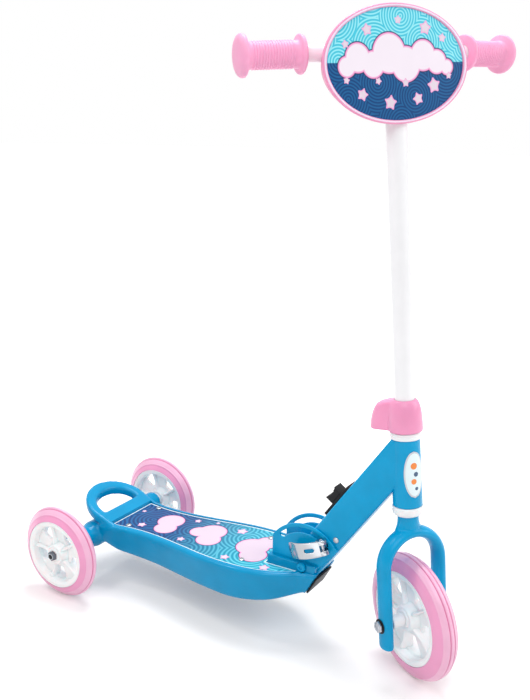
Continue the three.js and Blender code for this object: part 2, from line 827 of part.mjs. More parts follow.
const outerDeck = deckLoft(0);
const recess = slopedPlate(printOutline(-seatGap), printThickness + seatGap + cutOverrun + deckRimHeight,
  () => deckTop(0) + deckRimHeight + cutOverrun, -deckSlope);
const ribs = [];
for (let i = 0; i < ribCount; i += 1) {
  const back = ribFirst + ((ribLast - ribFirst) * i) / (ribCount - 1);
  ribs.push(solidOf(moved(new THREE.BoxGeometry(2 * deckHalfWidthMax, ribThickness, ribDepth), 0, back,
    deckTop(back) - printThickness - ribDepth / 2 - seatGap * 2)));
}
for (const side of [-1, 1]) {
  ribs.push(solidOf(moved(new THREE.BoxGeometry(ribThickness, ribLast - cheekRearBack, ribDepth),
    side * ribSpread,
    (ribLast + cheekRearBack) / 2, deckTop(deckTail) - printThickness - ribDepth / 2)));
}
const bosses = deckScrewPlaces.map(([x, y]) => solidOf(uprightRod(bossRadius,
  deckTop(y) - printThickness - seatGap - deckScrewLength, deckTop(y) - printThickness - seatGap * 2, x, y,
    smallSides)));
const screwHoles = deckScrewPlaces.map(([x, y]) => solidOf(uprightRod(deckScrewShank + seatGap,
  deckTop(y) - printThickness - deckScrewLength - cutOverrun * 2, deckTop(y) + cutOverrun, x, y,
    smallSides)));
const ribSet = joined(...ribs).intersect(outerDeck);
let deckShell = cut(outerDeck, deckLoft(deckWall));
deckShell = joined(deckShell, ribSet, ...bosses, handleSolid, housing, housingWeb, collar);
const baseScrewHoles = baseScrewBacks.map((back) => solidOf(uprightRod(baseScrewShank + seatGap,
  channelFloorBottom - baseScrewLength, channelFloorTop + cutOverrun, 0, back, smallSides)));
const pivotHole = (radius) => solidOf(crossRod(radius, -collarOuter - cutOverrun * 2,
  collarOuter + cutOverrun * 2,
  pivotBack, pivotHeight));
const scallops = [
  solidOf(crossRod(pivotHeadRadius + runningGap, -collarOuter - scallopReach, -collarOuter, pivotBack,
    pivotHeight)),
  solidOf(crossRod(pivotNutRadius + runningGap, collarOuter, collarOuter + scallopReach, pivotBack,
    pivotHeight)),
];
deckShell = cut(deckShell, pocket, noseCut, recess, housingBore, pivotHole(pivotBoltRadius + seatGap),
  ...screwHoles, ...baseScrewHoles, ...scallops);
addPiece(scooter, 'deck_shell', deckShell, colours.blue, gloss);

const print = slopedPlate(printOutline(0), printThickness, () => deckTop(0), -deckSlope);
addPiece(scooter, 'deck_print', cut(print, ...screwHoles), colours.print, satin);
deckScrewPlaces.forEach(([x, y], i) => {
  const under = deckTop(y) + seatGap;
  const screw = turnedZ([
    [0, -deckScrewLength + seatGap], [deckScrewShank, -deckScrewLength + seatGap], [deckScrewShank, 0],
    [deckScrewRadius, 0], [deckScrewRadius * 0.9, deckScrewHead * 0.6], [0, deckScrewHead],
  ], smallSides);
  addPiece(scooter, `deck_screw_${i + 1}`, moved(screw, x, y, under), colours.steel, gloss, 1);
});

// Fold bracket: cheeks with an arc slot for the skewer, on a floor between them.

const slotStart = skewerAngle - foldSwing;
function cheekOutline() {
  const frontAngle = neckAngle + Math.asin(neckLowerOffset / cheekRadius);
  const rearAngle = Math.acos((cheekRearBack - pivotBack) / cheekRadius);
  const round = arc(cheekRadius, rearAngle, frontAngle, pivotBack, pivotHeight);
  const floorFront = noseBack(channelFloorBottom) + padGap;
  const outline = [
    [cheekRearBack, channelFloorBottom], ...round,
    [noseTopBack + seatGap, noseCornerHeight], [noseBack(noseTopHeight) + padGap, noseTopHeight],
    [floorFront, channelFloorBottom],
  ];
  const shape = polygon(outline);
  const outer = arc(slotRadius + slotHalfWidth, slotStart - slotPlay, skewerAngle + slotPlay, pivotBack,
    pivotHeight);
  const inner = arc(slotRadius - slotHalfWidth, skewerAngle + slotPlay, slotStart - slotPlay, pivotBack,
    pivotHeight);
  const cap = (angle, turn) => {
    const [y, z] = polar(slotRadius, angle, pivotBack, pivotHeight);
    return arc(slotHalfWidth, turn, turn + Math.PI, y, z, Math.PI / 6).slice(1, -1);
  };
  const endCap = cap(skewerAngle + slotPlay, skewerAngle + slotPlay);
  const startCap = cap(slotStart - slotPlay, slotStart - slotPlay + Math.PI);
  const slot = [...outer, ...endCap, ...inner, ...startCap];
  shape.holes.push(new THREE.Path(slot.map(([x, y]) => new THREE.Vector2(x, y))));
  return shape;
}
const cheek = (from, to) => solidOf(sidePlate(cheekOutline(), from, to));
const channelFloor = solidOf(sidePlate(polygon([
  [noseBack(channelFloorTop) + padGap, channelFloorTop],
  [noseBack(channelFloorBottom) + padGap, channelFloorBottom],
  [cheekRearBack, channelFloorBottom], [cheekRearBack, channelFloorTop],
]), -cheekOuter, cheekOuter));
const bracket = cut(
  joined(cheek(-cheekOuter, -cheekInner), cheek(cheekInner, cheekOuter), channelFloor),
  pivotHole(pivotBoltRadius + seatGap), ...baseScrewHoles,
);
addPiece(scooter, 'fold_bracket', bracket, colours.blue, gloss);
baseScrewBacks.forEach((back, i) => {
  const screw = turnedZ([
    [0, -baseScrewLength], [baseScrewShank, -baseScrewLength], [baseScrewShank, 0],
    [baseScrewRadius, 0], [baseScrewRadius * 0.8, baseScrewHead], [0, baseScrewHead],
  ], smallSides);
  addPiece(scooter, `bracket_screw_${i + 1}`, moved(screw, 0, back, channelFloorTop + seatGap),
    colours.steel, gloss, 1);
});

const pivotBolt = turnedX([
  [0, -collarOuter - seatGap - pivotHeadThickness],
  [pivotHeadRadius * 0.75, -collarOuter - seatGap - pivotHeadThickness],
  [pivotHeadRadius, -collarOuter - seatGap - pivotHeadThickness * 0.5],
  [pivotHeadRadius, -collarOuter - seatGap], [pivotBoltRadius, -collarOuter - seatGap],
  [pivotBoltRadius, collarOuter + pivotHeadThickness], [0, collarOuter + pivotHeadThickness],
], roundSides);
addPiece(scooter, 'pivot_bolt', moved(pivotBolt, 0, pivotBack, pivotHeight), colours.blue, gloss);
addPiece(scooter, 'pivot_nut', nutX(pivotBoltRadius + seatGap, pivotNutRadius, collarOuter + seatGap,
  collarOuter + seatGap + pivotHeadThickness, pivotBack, pivotHeight), colours.steel, gloss, 1);

// Black strip that closes the front of the channel.
const padOut = (height, out) => [noseBack(height) - out, height];
addPiece(scooter, 'nose_strip', sidePlate(polygon([
  padOut(noseTopHeight, seatGap), padOut(noseFootHeight, seatGap),
  padOut(noseFootHeight, seatGap + padThickness), padOut(noseTopHeight, seatGap + padThickness),
]), -padHalfWidth, padHalfWidth), colours.black, matt);

// Neck with the head tube.

const neckAlong = new THREE.Vector2(Math.cos(neckAngle), Math.sin(neckAngle));
const neckUp = new THREE.Vector2(Math.sin(neckAngle), -Math.cos(neckAngle));
const onNeck = (along, up) => [
  pivotBack + neckAlong.x * along + neckUp.x * up,
  pivotHeight + neckAlong.y * along + neckUp.y * up,
];
const headAxis = new THREE.Vector2(Math.sin(steeringLean), Math.cos(steeringLean));
const onHead = (height, behind = 0) => [
  -steeringForward + headAxis.x * height + headAxis.y * behind,
  frontAxleHeight + headAxis.y * height - headAxis.x * behind,
];

// Where the line from a start along a direction meets the line through another place.
function crossing([y0, z0], [dy, dz], [y1, z1], [ey, ez]) {
  const t = ((y1 - y0) * ez - (z1 - z0) * ey) / (dy * ez - dz * ey);
  return [y0 + dy * t, z0 + dz * t];
}
const alongNeck = [neckAlong.x, neckAlong.y];
const alongHead = [headAxis.x, headAxis.y];
const acrossHead = [headAxis.y, -headAxis.x];
const neckEndRadius = (neckUpperOffset + neckLowerOffset) / 2;
const neckEndUp = (neckUpperOffset - neckLowerOffset) / 2;
const [endY, endZ] = onNeck(0, neckEndUp);
const neckOutline = polygon([
  onHead(headTop - seatGap), crossing(onHead(headTop - seatGap), acrossHead, onNeck(0, neckUpperOffset),
    alongNeck),
  ...arc(neckEndRadius, neckAngle - Math.PI / 2, neckAngle - 1.5 * Math.PI, endY, endZ),
  crossing(onNeck(0, -neckLowerOffset), alongNeck, onHead(0), alongHead),
]);
const headTube = solidOf(turnedZ([
  [0, headBottom], [headRadiusBottom, headBottom], [headRadiusTop, headTop], [0, headTop],
], fineSides).applyMatrix4(headFrame));
const headBoreSolid = solidOf(uprightRod(headBore, headBottom - cutOverrun, headTop + cutOverrun, 0, 0,
  roundSides)
  .applyMatrix4(headFrame));
const skewerPlace = polar(slotRadius, skewerAngle, pivotBack, pivotHeight);
const neckBody = solidOf(sidePlate(neckOutline, -neckHalfWidth, neckHalfWidth, neckEdge));
const neckPinHole = solidOf(crossRod(neckPinRadius + seatGap, -neckHalfWidth - cutOverrun,
  neckHalfWidth + cutOverrun, neckPinBack, neckPinHeight, smallSides));
const skewerHole = solidOf(crossRod(skewerRadius + runningGap, -neckHalfWidth - cutOverrun,
  neckHalfWidth + cutOverrun, ...skewerPlace, smallSides));
addPiece(scooter, 'neck_frame', cut(joined(neckBody, headTube), headBoreSolid, skewerHole, neckPinHole,
  pivotHole(pivotBoltRadius + runningGap)), colours.blue, gloss);

const neckPin = turnedX([
  [0, -neckHalfWidth - seatGap - neckPinHeadThickness],
  [neckPinHead * neckPinCrownShare, -neckHalfWidth - seatGap - neckPinHeadThickness],
  [neckPinHead, -neckHalfWidth - seatGap], [neckPinRadius, -neckHalfWidth - seatGap],
  [neckPinRadius, neckHalfWidth + seatGap], [neckPinHead, neckHalfWidth + seatGap],
  [neckPinHead * neckPinCrownShare, neckHalfWidth + seatGap + neckPinHeadThickness],
  [0, neckHalfWidth + seatGap + neckPinHeadThickness],
], smallSides);
addPiece(scooter, 'neck_rivet', moved(neckPin, 0, neckPinBack, neckPinHeight), colours.steel, gloss, 1);

// Bearing cups and badge on the head tube.

const cupBore = steererRadius + runningGap;
addPiece(head, 'lower_cup', turnedZ([
  [cupBore, lowerCupBottom], [lowerCupRadiusBottom, lowerCupBottom], [lowerCupRadiusTop, lowerCupRim],
  [lowerCupRadiusTop, headBottom - seatGap], [cupBore, headBottom - seatGap], [cupBore, lowerCupBottom],
], fineSides), colours.white, satin);
const upperCupBottom = headTop + seatGap;
addPiece(head, 'upper_cup', turnedZ([
  [cupBore, upperCupBottom], [upperCupRadius, upperCupBottom],
  [upperCupRadius, upperCupBottom + upperCupHeight - cupEdge],
  [upperCupRadius - cupEdge, upperCupBottom + upperCupHeight], [cupBore, upperCupBottom + upperCupHeight],
  [cupBore, upperCupBottom],
], fineSides), colours.white, satin);

const badgeInner = headRadiusBottom + seatGap;
const badgeTube = turnedZ([
  [badgeInner, headBottom], [badgeInner + badgeThickness, headBottom],
  [badgeInner + badgeThickness - (headRadiusBottom - headRadiusTop), headTop],
  [badgeInner - (headRadiusBottom - headRadiusTop), headTop], [badgeInner, headBottom],
], fineSides);
const badgeOval = new THREE.Shape().absellipse(0, 0, badgeHalfWidth, badgeHalfHeight, 0, 2 * Math.PI);
const badgePrism = new THREE.ExtrudeGeometry(badgeOval, {
  depth: 2 * headRadiusBottom, bevelEnabled: false, curveSegments: roundSides,
});
badgePrism.applyMatrix4(new THREE.Matrix4().makeRotationX(Math.PI / 2));
badgePrism.applyMatrix4(new THREE.Matrix4().makeRotationZ(badgeTurn));
moved(badgePrism, 0, 0, badgeCentreHeight);
addPiece(head, 'head_badge', solidOf(badgeTube).intersect(solidOf(badgePrism)), colours.white, satin);

// Fold latch: a sliding black catch on its base plate.

const latchFloor = neckUpperOffset + seatGap;
const latchBase = solidOf(sidePlate(polygon([
  onNeck(latchBaseStart, latchFloor), onNeck(latchBaseEnd, latchFloor),
  onNeck(latchBaseEnd, latchFloor + latchBaseThickness),
  onNeck(latchBaseStart, latchFloor + latchBaseThickness),
]), -latchBaseHalfWidth, latchBaseHalfWidth));
const tongueStart = latchBlockStart + (latchBlockLength - latchTongueLength) / 2;
const latchSlot = solidOf(sidePlate(polygon([
  onNeck(tongueStart - latchTravel - runningGap, latchFloor - cutOverrun),
  onNeck(tongueStart + latchTongueLength + runningGap, latchFloor - cutOverrun),
  onNeck(tongueStart + latchTongueLength + runningGap, latchFloor + latchBaseThickness + cutOverrun),
  onNeck(tongueStart - latchTravel - runningGap, latchFloor + latchBaseThickness + cutOverrun),
]), -latchTongueHalf - runningGap, latchTongueHalf + runningGap));
addPiece(scooter, 'latch_base', cut(latchBase, latchSlot), colours.black, matt);
const blockFoot = latchFloor + latchBaseThickness + seatGap;
const blockTop = [];
for (let i = 0; i <= 8; i += 1) {
  const t = i / 8;
  blockTop.push(onNeck(latchBlockStart + latchBlockLength * t,
    blockFoot + latchBlockHeight - latchScoop * Math.sin(Math.PI * t)));
}
const latchBlock = joined(
  solidOf(sidePlate(polygon([
    onNeck(latchBlockStart + latchBlockLength, blockFoot), onNeck(latchBlockStart, blockFoot), ...blockTop,
  ]), -latchBlockHalfWidth, latchBlockHalfWidth)),
  solidOf(sidePlate(polygon([
    onNeck(tongueStart, latchFloor + seatGap), onNeck(tongueStart + latchTongueLength, latchFloor + seatGap),
    onNeck(tongueStart + latchTongueLength, blockFoot + seatGap), onNeck(tongueStart, blockFoot + seatGap),
  ]), -latchTongueHalf, latchTongueHalf)),
);
addPiece(scooter, 'latch_slider', latchBlock, colours.black, matt);

// Skewer with its nut, and the quick release lever on its cam.

const camSide = cheekOuter + seatGap + camRadius;
const leverAxes = [
  new THREE.Vector3(0, Math.cos(leverTurn), Math.sin(leverTurn)),
  new THREE.Vector3(-1, 0, 0),
  new THREE.Vector3(0, -Math.sin(leverTurn), Math.cos(leverTurn)),
];
const leverFrame = new THREE.Matrix4().makeBasis(leverAxes[0], leverAxes[1], leverAxes[2])
  .setPosition(-camSide, ...skewerPlace);
const skewerRod = solidOf(crossRod(skewerRadius, -camSide, skewerHead, ...skewerPlace, smallSides));
const camPin = solidOf(uprightRod(camPinRadius, -camHalfLength, camHalfLength, 0, 0, smallSides)
  .applyMatrix4(leverFrame));
addPiece(scooter, 'skewer', joined(skewerRod, camPin), colours.steel, gloss, 1);
addPiece(scooter, 'skewer_nut', nutX(skewerRadius + seatGap, skewerNutRadius, cheekOuter + seatGap,
  cheekOuter + seatGap + skewerNutThickness, ...skewerPlace), colours.steel, gloss, 1);

const tip = leverLength - camRadius;
const leverOut = (t) => camRadius + leverBow * 4 * t * (1 - t) - t * (camRadius - leverThickness);
const outerLine = [];
const innerLine = [];
for (let i = 0; i <= leverSteps; i += 1) {
  const t = i / leverSteps;
  outerLine.push([tip * t, leverOut(t)]);
  innerLine.push([tip * t, leverOut(t) - leverThickness]);
}
function leverExtrude(shape, half) {
  const body = new THREE.ExtrudeGeometry(shape,
    { depth: 2 * half, bevelEnabled: false, curveSegments: roundSides / 2 });
  return moved(body, 0, 0, -half);
}
const strapBody = solidOf(leverExtrude(polygon([...outerLine, ...innerLine.reverse()]), leverTipHalfWidth));
const plan = new THREE.Shape();
plan.moveTo(-camRadius, -leverRootHalfWidth);
plan.lineTo(tip - leverTipHalfWidth * leverCornerShare, -leverTipHalfWidth);
plan.absellipse(tip - leverTipHalfWidth * leverCornerShare, 0, leverTipHalfWidth * leverCornerShare,
  leverTipHalfWidth, -Math.PI / 2, Math.PI / 2);
plan.lineTo(-camRadius, leverRootHalfWidth);
plan.closePath();
const planCut = new THREE.ExtrudeGeometry(plan,
  { depth: camCutShare * camRadius, bevelEnabled: false, curveSegments: roundSides / 2 });
planCut.applyMatrix4(new THREE.Matrix4().makeRotationX(Math.PI / 2));
moved(planCut, 0, camCutShift * camRadius, 0);
const cams = leverExtrude(new THREE.Shape().absarc(0, 0, camRadius, 0, 2 * Math.PI), camHalfLength);
const camSlot = leverExtrude(polygon([
  [-camRadius - cutOverrun, -camRadius - cutOverrun], [camRadius + cutOverrun, -camRadius - cutOverrun],
  [camRadius + cutOverrun, camRadius - leverThickness],
  [camRadius * camBridgeShare, camRadius - leverThickness],
  [camRadius * camBridgeShare, camRadius + cutOverrun], [-camRadius - cutOverrun, camRadius + cutOverrun],
]), forkSlotHalf);
const pinHole = leverExtrude(new THREE.Shape().absarc(0, 0, camPinRadius + runningGap, 0, 2 * Math.PI),
  camHalfLength + cutOverrun);
const slotEnd = leverSlotStart + leverSlotLength;
const strapSlot = new THREE.Shape();
strapSlot.absarc(leverSlotStart, 0, leverSlotHalfWidth, Math.PI / 2, 1.5 * Math.PI);
strapSlot.absarc(slotEnd, 0, leverSlotHalfWidth, -Math.PI / 2, Math.PI / 2);
const strapHole = new THREE.ExtrudeGeometry(strapSlot,
  { depth: camCutShare * camRadius, bevelEnabled: false, curveSegments: roundSides / 4 });
strapHole.applyMatrix4(new THREE.Matrix4().makeRotationX(Math.PI / 2));
moved(strapHole, 0, camCutShift * camRadius, 0);
const lever = cut(joined(strapBody.intersect(solidOf(planCut)), solidOf(cams)), solidOf(camSlot),
  solidOf(pinHole),
  solidOf(strapHole));
addPiece(scooter, 'quick_release_lever', geometryOf(lever).applyMatrix4(leverFrame), colours.steel, polished,
  1);

// Fork: an oval tube bent over the wheel, with the steerer on top.

function legRing(x, z, outX, outZ, share) {
  const ring = [];
  for (let i = 0; i < roundSides; i += 1) {
    const angle = (2 * Math.PI * i) / roundSides;
    const across = legHalfAcross * share * Math.cos(angle);
    ring.push(new THREE.Vector3(x + outX * across, -frontWheelLead + legHalfDeep * share * Math.sin(angle),
      z + outZ * across));
  }
  return ring;
}
const legRings = [];
for (const [share, rise] of footStops) {
  legRings.push(legRing(legSide, rise - legFoot, 1, 0, share));
}
legRings.push(legRing(legSide, 0, 1, 0, 1));
for (let i = 0; i <= archSteps; i += 1) {
  const angle = (Math.PI * i) / archSteps;
  legRings.push(legRing(legSide * Math.cos(angle), archCentre + legSide * Math.sin(angle),
    Math.cos(angle), Math.sin(angle), 1));
}
legRings.push(legRing(-legSide, 0, -1, 0, 1));
for (const [share, rise] of [...footStops].reverse()) {
  legRings.push(legRing(-legSide, rise - legFoot, -1, 0, share));
}
const legs = solidOf(loft(legRings));
const archTop = archCentre + legSide + legHalfAcross;
const steerer = solidOf(turnedZ([
  [0, archTop - legHalfAcross], [steererRadius, archTop - legHalfAcross], [steererRadius, steererTop],
  [0, steererTop],
], roundSides));
const crown = solidOf(loft(crownStops.map(([height, across, deep]) => {
  const ring = [];
  for (let i = 0; i < roundSides; i += 1) {
    const angle = (2 * Math.PI * i) / roundSides;
    ring.push(new THREE.Vector3(across * Math.cos(angle), deep * Math.sin(angle), height));
  }
  return ring;
})));
const steererBore = solidOf(uprightRod(columnRadius + seatGap, columnFoot - seatGap, steererTop + cutOverrun,
  0, 0));
const axleBoreInLegs = solidOf(crossRod(frontAxleRadius + seatGap, -legSide - 2 * legHalfAcross,
  legSide + 2 * legHalfAcross, -frontWheelLead, 0, roundSides));
addPiece(steered, 'fork', cut(joined(legs, crown, steerer), steererBore, axleBoreInLegs), colours.blue,
  gloss);

// Front axle bolt, washers, spacers and nut.

const legOuter = legSide + legHalfAcross;
const legInner = legSide - legHalfAcross;
const washerFrom = legOuter + seatGap;
const washerTo = washerFrom + legWasherThickness;
const boltHead = washerTo + seatGap;
addPiece(steered, 'front_axle', joined(
  solidOf(crossRod(frontAxleRadius, -boltHead - forkAxleHeadThickness / 2, boltHead + forkAxleHeadThickness,
    -frontWheelLead, 0)),
  solidOf(crossRod(forkAxleHead, -boltHead - forkAxleHeadThickness, -boltHead, -frontWheelLead, 0, hexSides)),
), colours.steel, gloss, 1);
addPiece(steered, 'front_nut', nutX(frontAxleRadius + seatGap, forkAxleHead, boltHead,
  boltHead + forkAxleHeadThickness, -frontWheelLead, 0), colours.steel, gloss, 1);
for (const [side, name] of [[-1, 'right'], [1, 'left']]) {
  const mirror = new THREE.Matrix4().makeScale(side, 1, 1);
  addPiece(steered, `fork_washer_${name}`, ringX(frontAxleRadius + seatGap, legWasherRadius, washerFrom,
    washerTo, -frontWheelLead, 0).applyMatrix4(mirror), colours.black, satin);
  addPiece(steered, `front_spacer_${name}`, ringX(frontAxleRadius + seatGap, spacerRadius,
    frontHubHalfWidth + seatGap, legInner - seatGap, -frontWheelLead, 0).applyMatrix4(mirror), colours.white,
    satin);
}

// Column and handlebar. Both arms sweep back from the middle.

function barPlace(along) {
  const s = Math.abs(along);
  const back = s < barBend ? (s * s) / (2 * barBend) : s - barBend / 2;
  return [Math.sign(along) * s * Math.cos(armSweep), back * Math.sin(armSweep)];
}
function barTube(radius, reach, sides) {
  const stops = [reach, barBend, barBend / 2];
  const places = [...stops.map((s) => -s), 0, ...[...stops].reverse()];
  return solidOf(loft(places.map((along) => {
    const [x, y] = barPlace(along);
    const turn = Math.sign(along) * armSweep * Math.min(1, Math.abs(along) / barBend);
    const ring = [];
    for (let i = 0; i < sides; i += 1) {
      const angle = (2 * Math.PI * i) / sides;
      ring.push(new THREE.Vector3(x - radius * Math.cos(angle) * Math.sin(turn),
        y + radius * Math.cos(angle) * Math.cos(turn), barHeight + radius * Math.sin(angle)));
    }
    return ring;
  })));
}
const bar = cut(barTube(barRadius, barReach, roundSides),
  barTube(barRadius - barWall, barReach + cutOverrun, roundSides));
addPiece(steered, 'handlebar', bar, colours.white, gloss);
const columnTube = solidOf(turnedZ([
  [columnRadius - columnWall, columnFoot], [columnRadius, columnFoot], [columnRadius, barHeight],
  [columnRadius - columnWall, barHeight], [columnRadius - columnWall, columnFoot],
], roundSides));
addPiece(steered, 'column', cut(columnTube, barTube(barRadius + seatGap, barReach, roundSides)),
  colours.white, gloss);

function gripProfile() {
  const bore = barRadius + seatGap;
  const points = [[bore, gripInner], [gripFlangeRadius - gripEdge, gripInner],
    [gripFlangeRadius, gripInner + gripFlangeThickness / 2],
    [gripFlangeRadius - gripEdge, gripInner + gripFlangeThickness],
    [gripRadius, gripInner + gripFlangeThickness]];
  const start = gripInner + gripFlangeThickness + gripPlain;
  const end = gripOuter - gripEndThickness / 2 - gripPlain;
  const pitch = (end - start) / gripRibCount;
  for (let i = 0; i < gripRibCount; i += 1) {
    points.push([gripRadius, start + pitch * i],
      [gripRadius + gripRibHeight, start + pitch * (i + gripRibShare)]);
  }
  points.push([gripRadius, end], [gripRadius, gripOuter - gripEndThickness / 2]);
  points.push([gripEndRadius - gripEdge, gripOuter - gripEndThickness / 2],
    [gripEndRadius, gripOuter - gripEndThickness / 4]);
  for (let i = 0; i <= 4; i += 1) {
    const angle = (i * Math.PI) / 8;
    points.push([gripEndRadius * Math.cos(angle), gripOuter + (gripEndThickness / 2) * Math.sin(angle)]);
  }
  points.push([0, barReach + seatGap], [bore, barReach + seatGap], [bore, gripInner]);
  return points;
}
for (const [side, name] of [[-1, 'right'], [1, 'left']]) {
  const arm = new THREE.Group();
  arm.position.set(0, barPlace(barBend)[1] - barBend * Math.sin(armSweep), barHeight);
  arm.rotation.z = side * armSweep;
  steered.add(arm);
  const grip = turnedX(gripProfile(), gripSides);
  if (side < 0) grip.applyMatrix4(new THREE.Matrix4().makeScale(-1, 1, 1));
  addPiece(arm, `grip_${name}`, grip, colours.pink, satin);
}

// Clamp round the steerer, under its cover.

const clampInner = steererRadius + seatGap;
const clampOuter = clampInner + clampThickness;
const clamp = cut(
  joined(
    solidOf(uprightRod(clampOuter, clampBottom, clampBottom + clampHeight, 0, 0)),
    solidOf(moved(new THREE.BoxGeometry(2 * clampLugHalf, clampLugReach, clampHeight), 0, clampLugReach / 2,
      clampBottom + clampHeight / 2)),
  ),
  solidOf(uprightRod(clampInner, clampBottom - cutOverrun, clampBottom + clampHeight + cutOverrun, 0, 0)),
  solidOf(moved(new THREE.BoxGeometry(clampSlit, clampLugReach + cutOverrun, clampHeight + 2 * cutOverrun), 0,
    (clampLugReach + cutOverrun) / 2, clampBottom + clampHeight / 2)),
  solidOf(crossRod(clampBoltRadius + seatGap, -2 * clampLugHalf, 2 * clampLugHalf, clampBoltBack,
    clampBottom + clampHeight / 2, smallSides)),
);
const coverGroup = new THREE.Group();
coverGroup.rotation.z = coverTurn;
steered.add(coverGroup);
addPiece(coverGroup, 'column_clamp', clamp, colours.steel, gloss, 1);
const clampBolt = turnedX([
  [0, -clampLugHalf - seatGap - clampBoltHeadThickness],
  [clampBoltHead, -clampLugHalf - seatGap - clampBoltHeadThickness],
  [clampBoltHead, -clampLugHalf - seatGap], [clampBoltRadius, -clampLugHalf - seatGap],
  [clampBoltRadius, clampLugHalf + seatGap], [clampBoltHead, clampLugHalf + seatGap],
  [clampBoltHead, clampLugHalf + seatGap + clampBoltHeadThickness],
  [0, clampLugHalf + seatGap + clampBoltHeadThickness],
], smallSides);
addPiece(coverGroup, 'clamp_bolt', moved(clampBolt, 0, clampBoltBack, clampBottom + clampHeight / 2),
  colours.darkSteel, satin, 1);

function coverSolid(inset) {
  const floor = coverBottom - (inset > 0 ? cutOverrun : 0);
  const rise = coverTop - coverBottom;
  const dome = [[0, floor], [coverRadius - inset, floor]];
  for (const [heightShare, radiusShare] of domeShares) {
    dome.push([coverTopRadius + (coverRadius - coverTopRadius) * radiusShare - inset,
      coverBottom + rise * heightShare - inset * heightShare]);
  }
  dome.push([0, coverTop - inset]);
  const lobe = lobeShares.map(([heightShare, reachShare]) => {
    const opening = inset > 0 && heightShare === 0 ? cutOverrun : 0;
    const height = coverBottom + (lobeHeight - inset) * heightShare - opening;
    const width = (lobeHalfWidth - inset) * Math.sqrt(reachShare);
    const reach = (lobeReach - inset) * reachShare;
    const ring = [new THREE.Vector3(width, 0, height)];
    for (const [x, y] of arc(width, 0, Math.PI, 0, 0, Math.PI / 7)) {
      ring.push(new THREE.Vector3(x, Math.max(reach - width, seatGap) + y, height));
    }
    ring.push(new THREE.Vector3(-width, 0, height));
    return ring;
  });
  return joined(solidOf(turnedZ(dome, fineSides)), solidOf(loft(lobe)));
}
const columnHole = solidOf(uprightRod(columnRadius + seatGap, coverBottom, coverTop + cutOverrun, 0, 0));
addPiece(coverGroup, 'clamp_cover', cut(coverSolid(0), coverSolid(coverWall), columnHole), colours.pink,
  satin);

// Front plate: an oval frame with a picture panel, closed by a back shell behind the bar.

const plateHeight = barHeight - plateDrop;
function ovalLoft(stops) {
  return solidOf(loft(stops.map(([inset, y]) => {
    const ring = [];
    for (let i = 0; i < ovalSides; i += 1) {
      const angle = -(2 * Math.PI * i) / ovalSides;
      ring.push(new THREE.Vector3(plateSide + (plateHalfWidth - plateSideShare * inset) * Math.cos(angle), y,
        plateHeight + (plateHalfHeight - inset) * Math.sin(angle)));
    }
    return ring;
  })));
}
const barWay = barTube(barRadius + runningGap, barReach, roundSides);
const columnWay = solidOf(uprightRod(columnRadius + runningGap, coverTop, barHeight, 0, 0));
const ledge = -plateFront + plateRecess + picturePanel + seatGap;
const frame = cut(
  ovalLoft([[plateEdge, -plateFront], [0, -plateFront + plateEdge], [plateTaper, -plateSplit]]),
  ovalLoft([[plateRim - plateBevel, -plateFront], [plateRim, -plateFront + plateBevel],
    [plateRim, ledge]]),
  ovalLoft([[plateRim + plateLedge, -plateFront - cutOverrun],
    [plateRim + plateLedge, -plateSplit + cutOverrun]]),
  barWay, columnWay, ...plateScrewPlaces().map(([x, z]) => screwWay(x, z)),
);
function plateScrewPlaces() {
  return [-1, 1].map((side) => [plateSide + side * (plateHalfWidth - plateScrewInset),
    plateHeight - plateScrewDrop]);
}
function rodY(radius, from, to, x, z, sides = smallSides) {
  return moved(rod(radius, to - from, sides), x, (from + to) / 2, z);
}
function screwWay(x, z) {
  return solidOf(rodY(plateScrewShank + seatGap, -plateScrewReach - seatGap, plateBack + cutOverrun, x, z));
}
addPiece(steered, 'plate_frame', frame, colours.pink, satin);
addPiece(steered, 'plate_picture', ovalLoft([[plateRim + seatGap, -plateFront + plateRecess],
  [plateRim + seatGap, -plateFront + plateRecess + picturePanel]]), colours.print, satin);
const backShell = cut(
  ovalLoft([[plateTaper, -plateSplit + seatGap], [plateBackTaper, plateBack - plateEdge * 2],
    [plateBackInset, plateBack]]),
  ovalLoft([[plateTaper + plateWall, -plateSplit],
    [plateBackTaper + plateWall, plateBack - plateEdge * 2 - plateWall / 2],
    [plateBackInset + plateWall, plateBack - plateWall]]),
  barWay, columnWay, ...plateScrewPlaces().map(([x, z]) => screwWay(x, z)),
);
addPiece(steered, 'plate_back', backShell, colours.pink, satin);
plateScrewPlaces().forEach(([x, z], i) => {
  const screw = joined(
    solidOf(rodY(plateScrewShank, -plateScrewReach, plateBack + seatGap + plateScrewHead / 2, x, z)),
    solidOf(rodY(plateScrewRadius, plateBack + seatGap, plateBack + seatGap + plateScrewHead, x, z)),
  );
  addPiece(steered, `plate_screw_${i + 1}`, screw, colours.steel, gloss, 1);
});

// The origin goes under the middle of the whole, on the floor.
scooter.updateMatrixWorld(true);
const box = new THREE.Box3().setFromObject(scooter, true);
const middle = box.getCenter(new THREE.Vector3());
scooter.position.set(-middle.x, -middle.y, -box.min.z);
scooter.updateMatrixWorld(true);

export default scooter;
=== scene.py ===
"""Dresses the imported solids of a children's three wheel scooter and sets them in a small studio.

Sizes are in millimetres in the frame of the part's source, with x to the rider's left, y to the rear
and z up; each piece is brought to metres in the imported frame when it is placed.
"""
import json
import logging
from dataclasses import dataclass
from enum import Enum
from math import acos, asin, ceil, copysign, cos, hypot, pi, radians, sin, sqrt
from typing import Callable, Iterable, Sequence

import bmesh
import bpy
from mathutils import Matrix, Vector


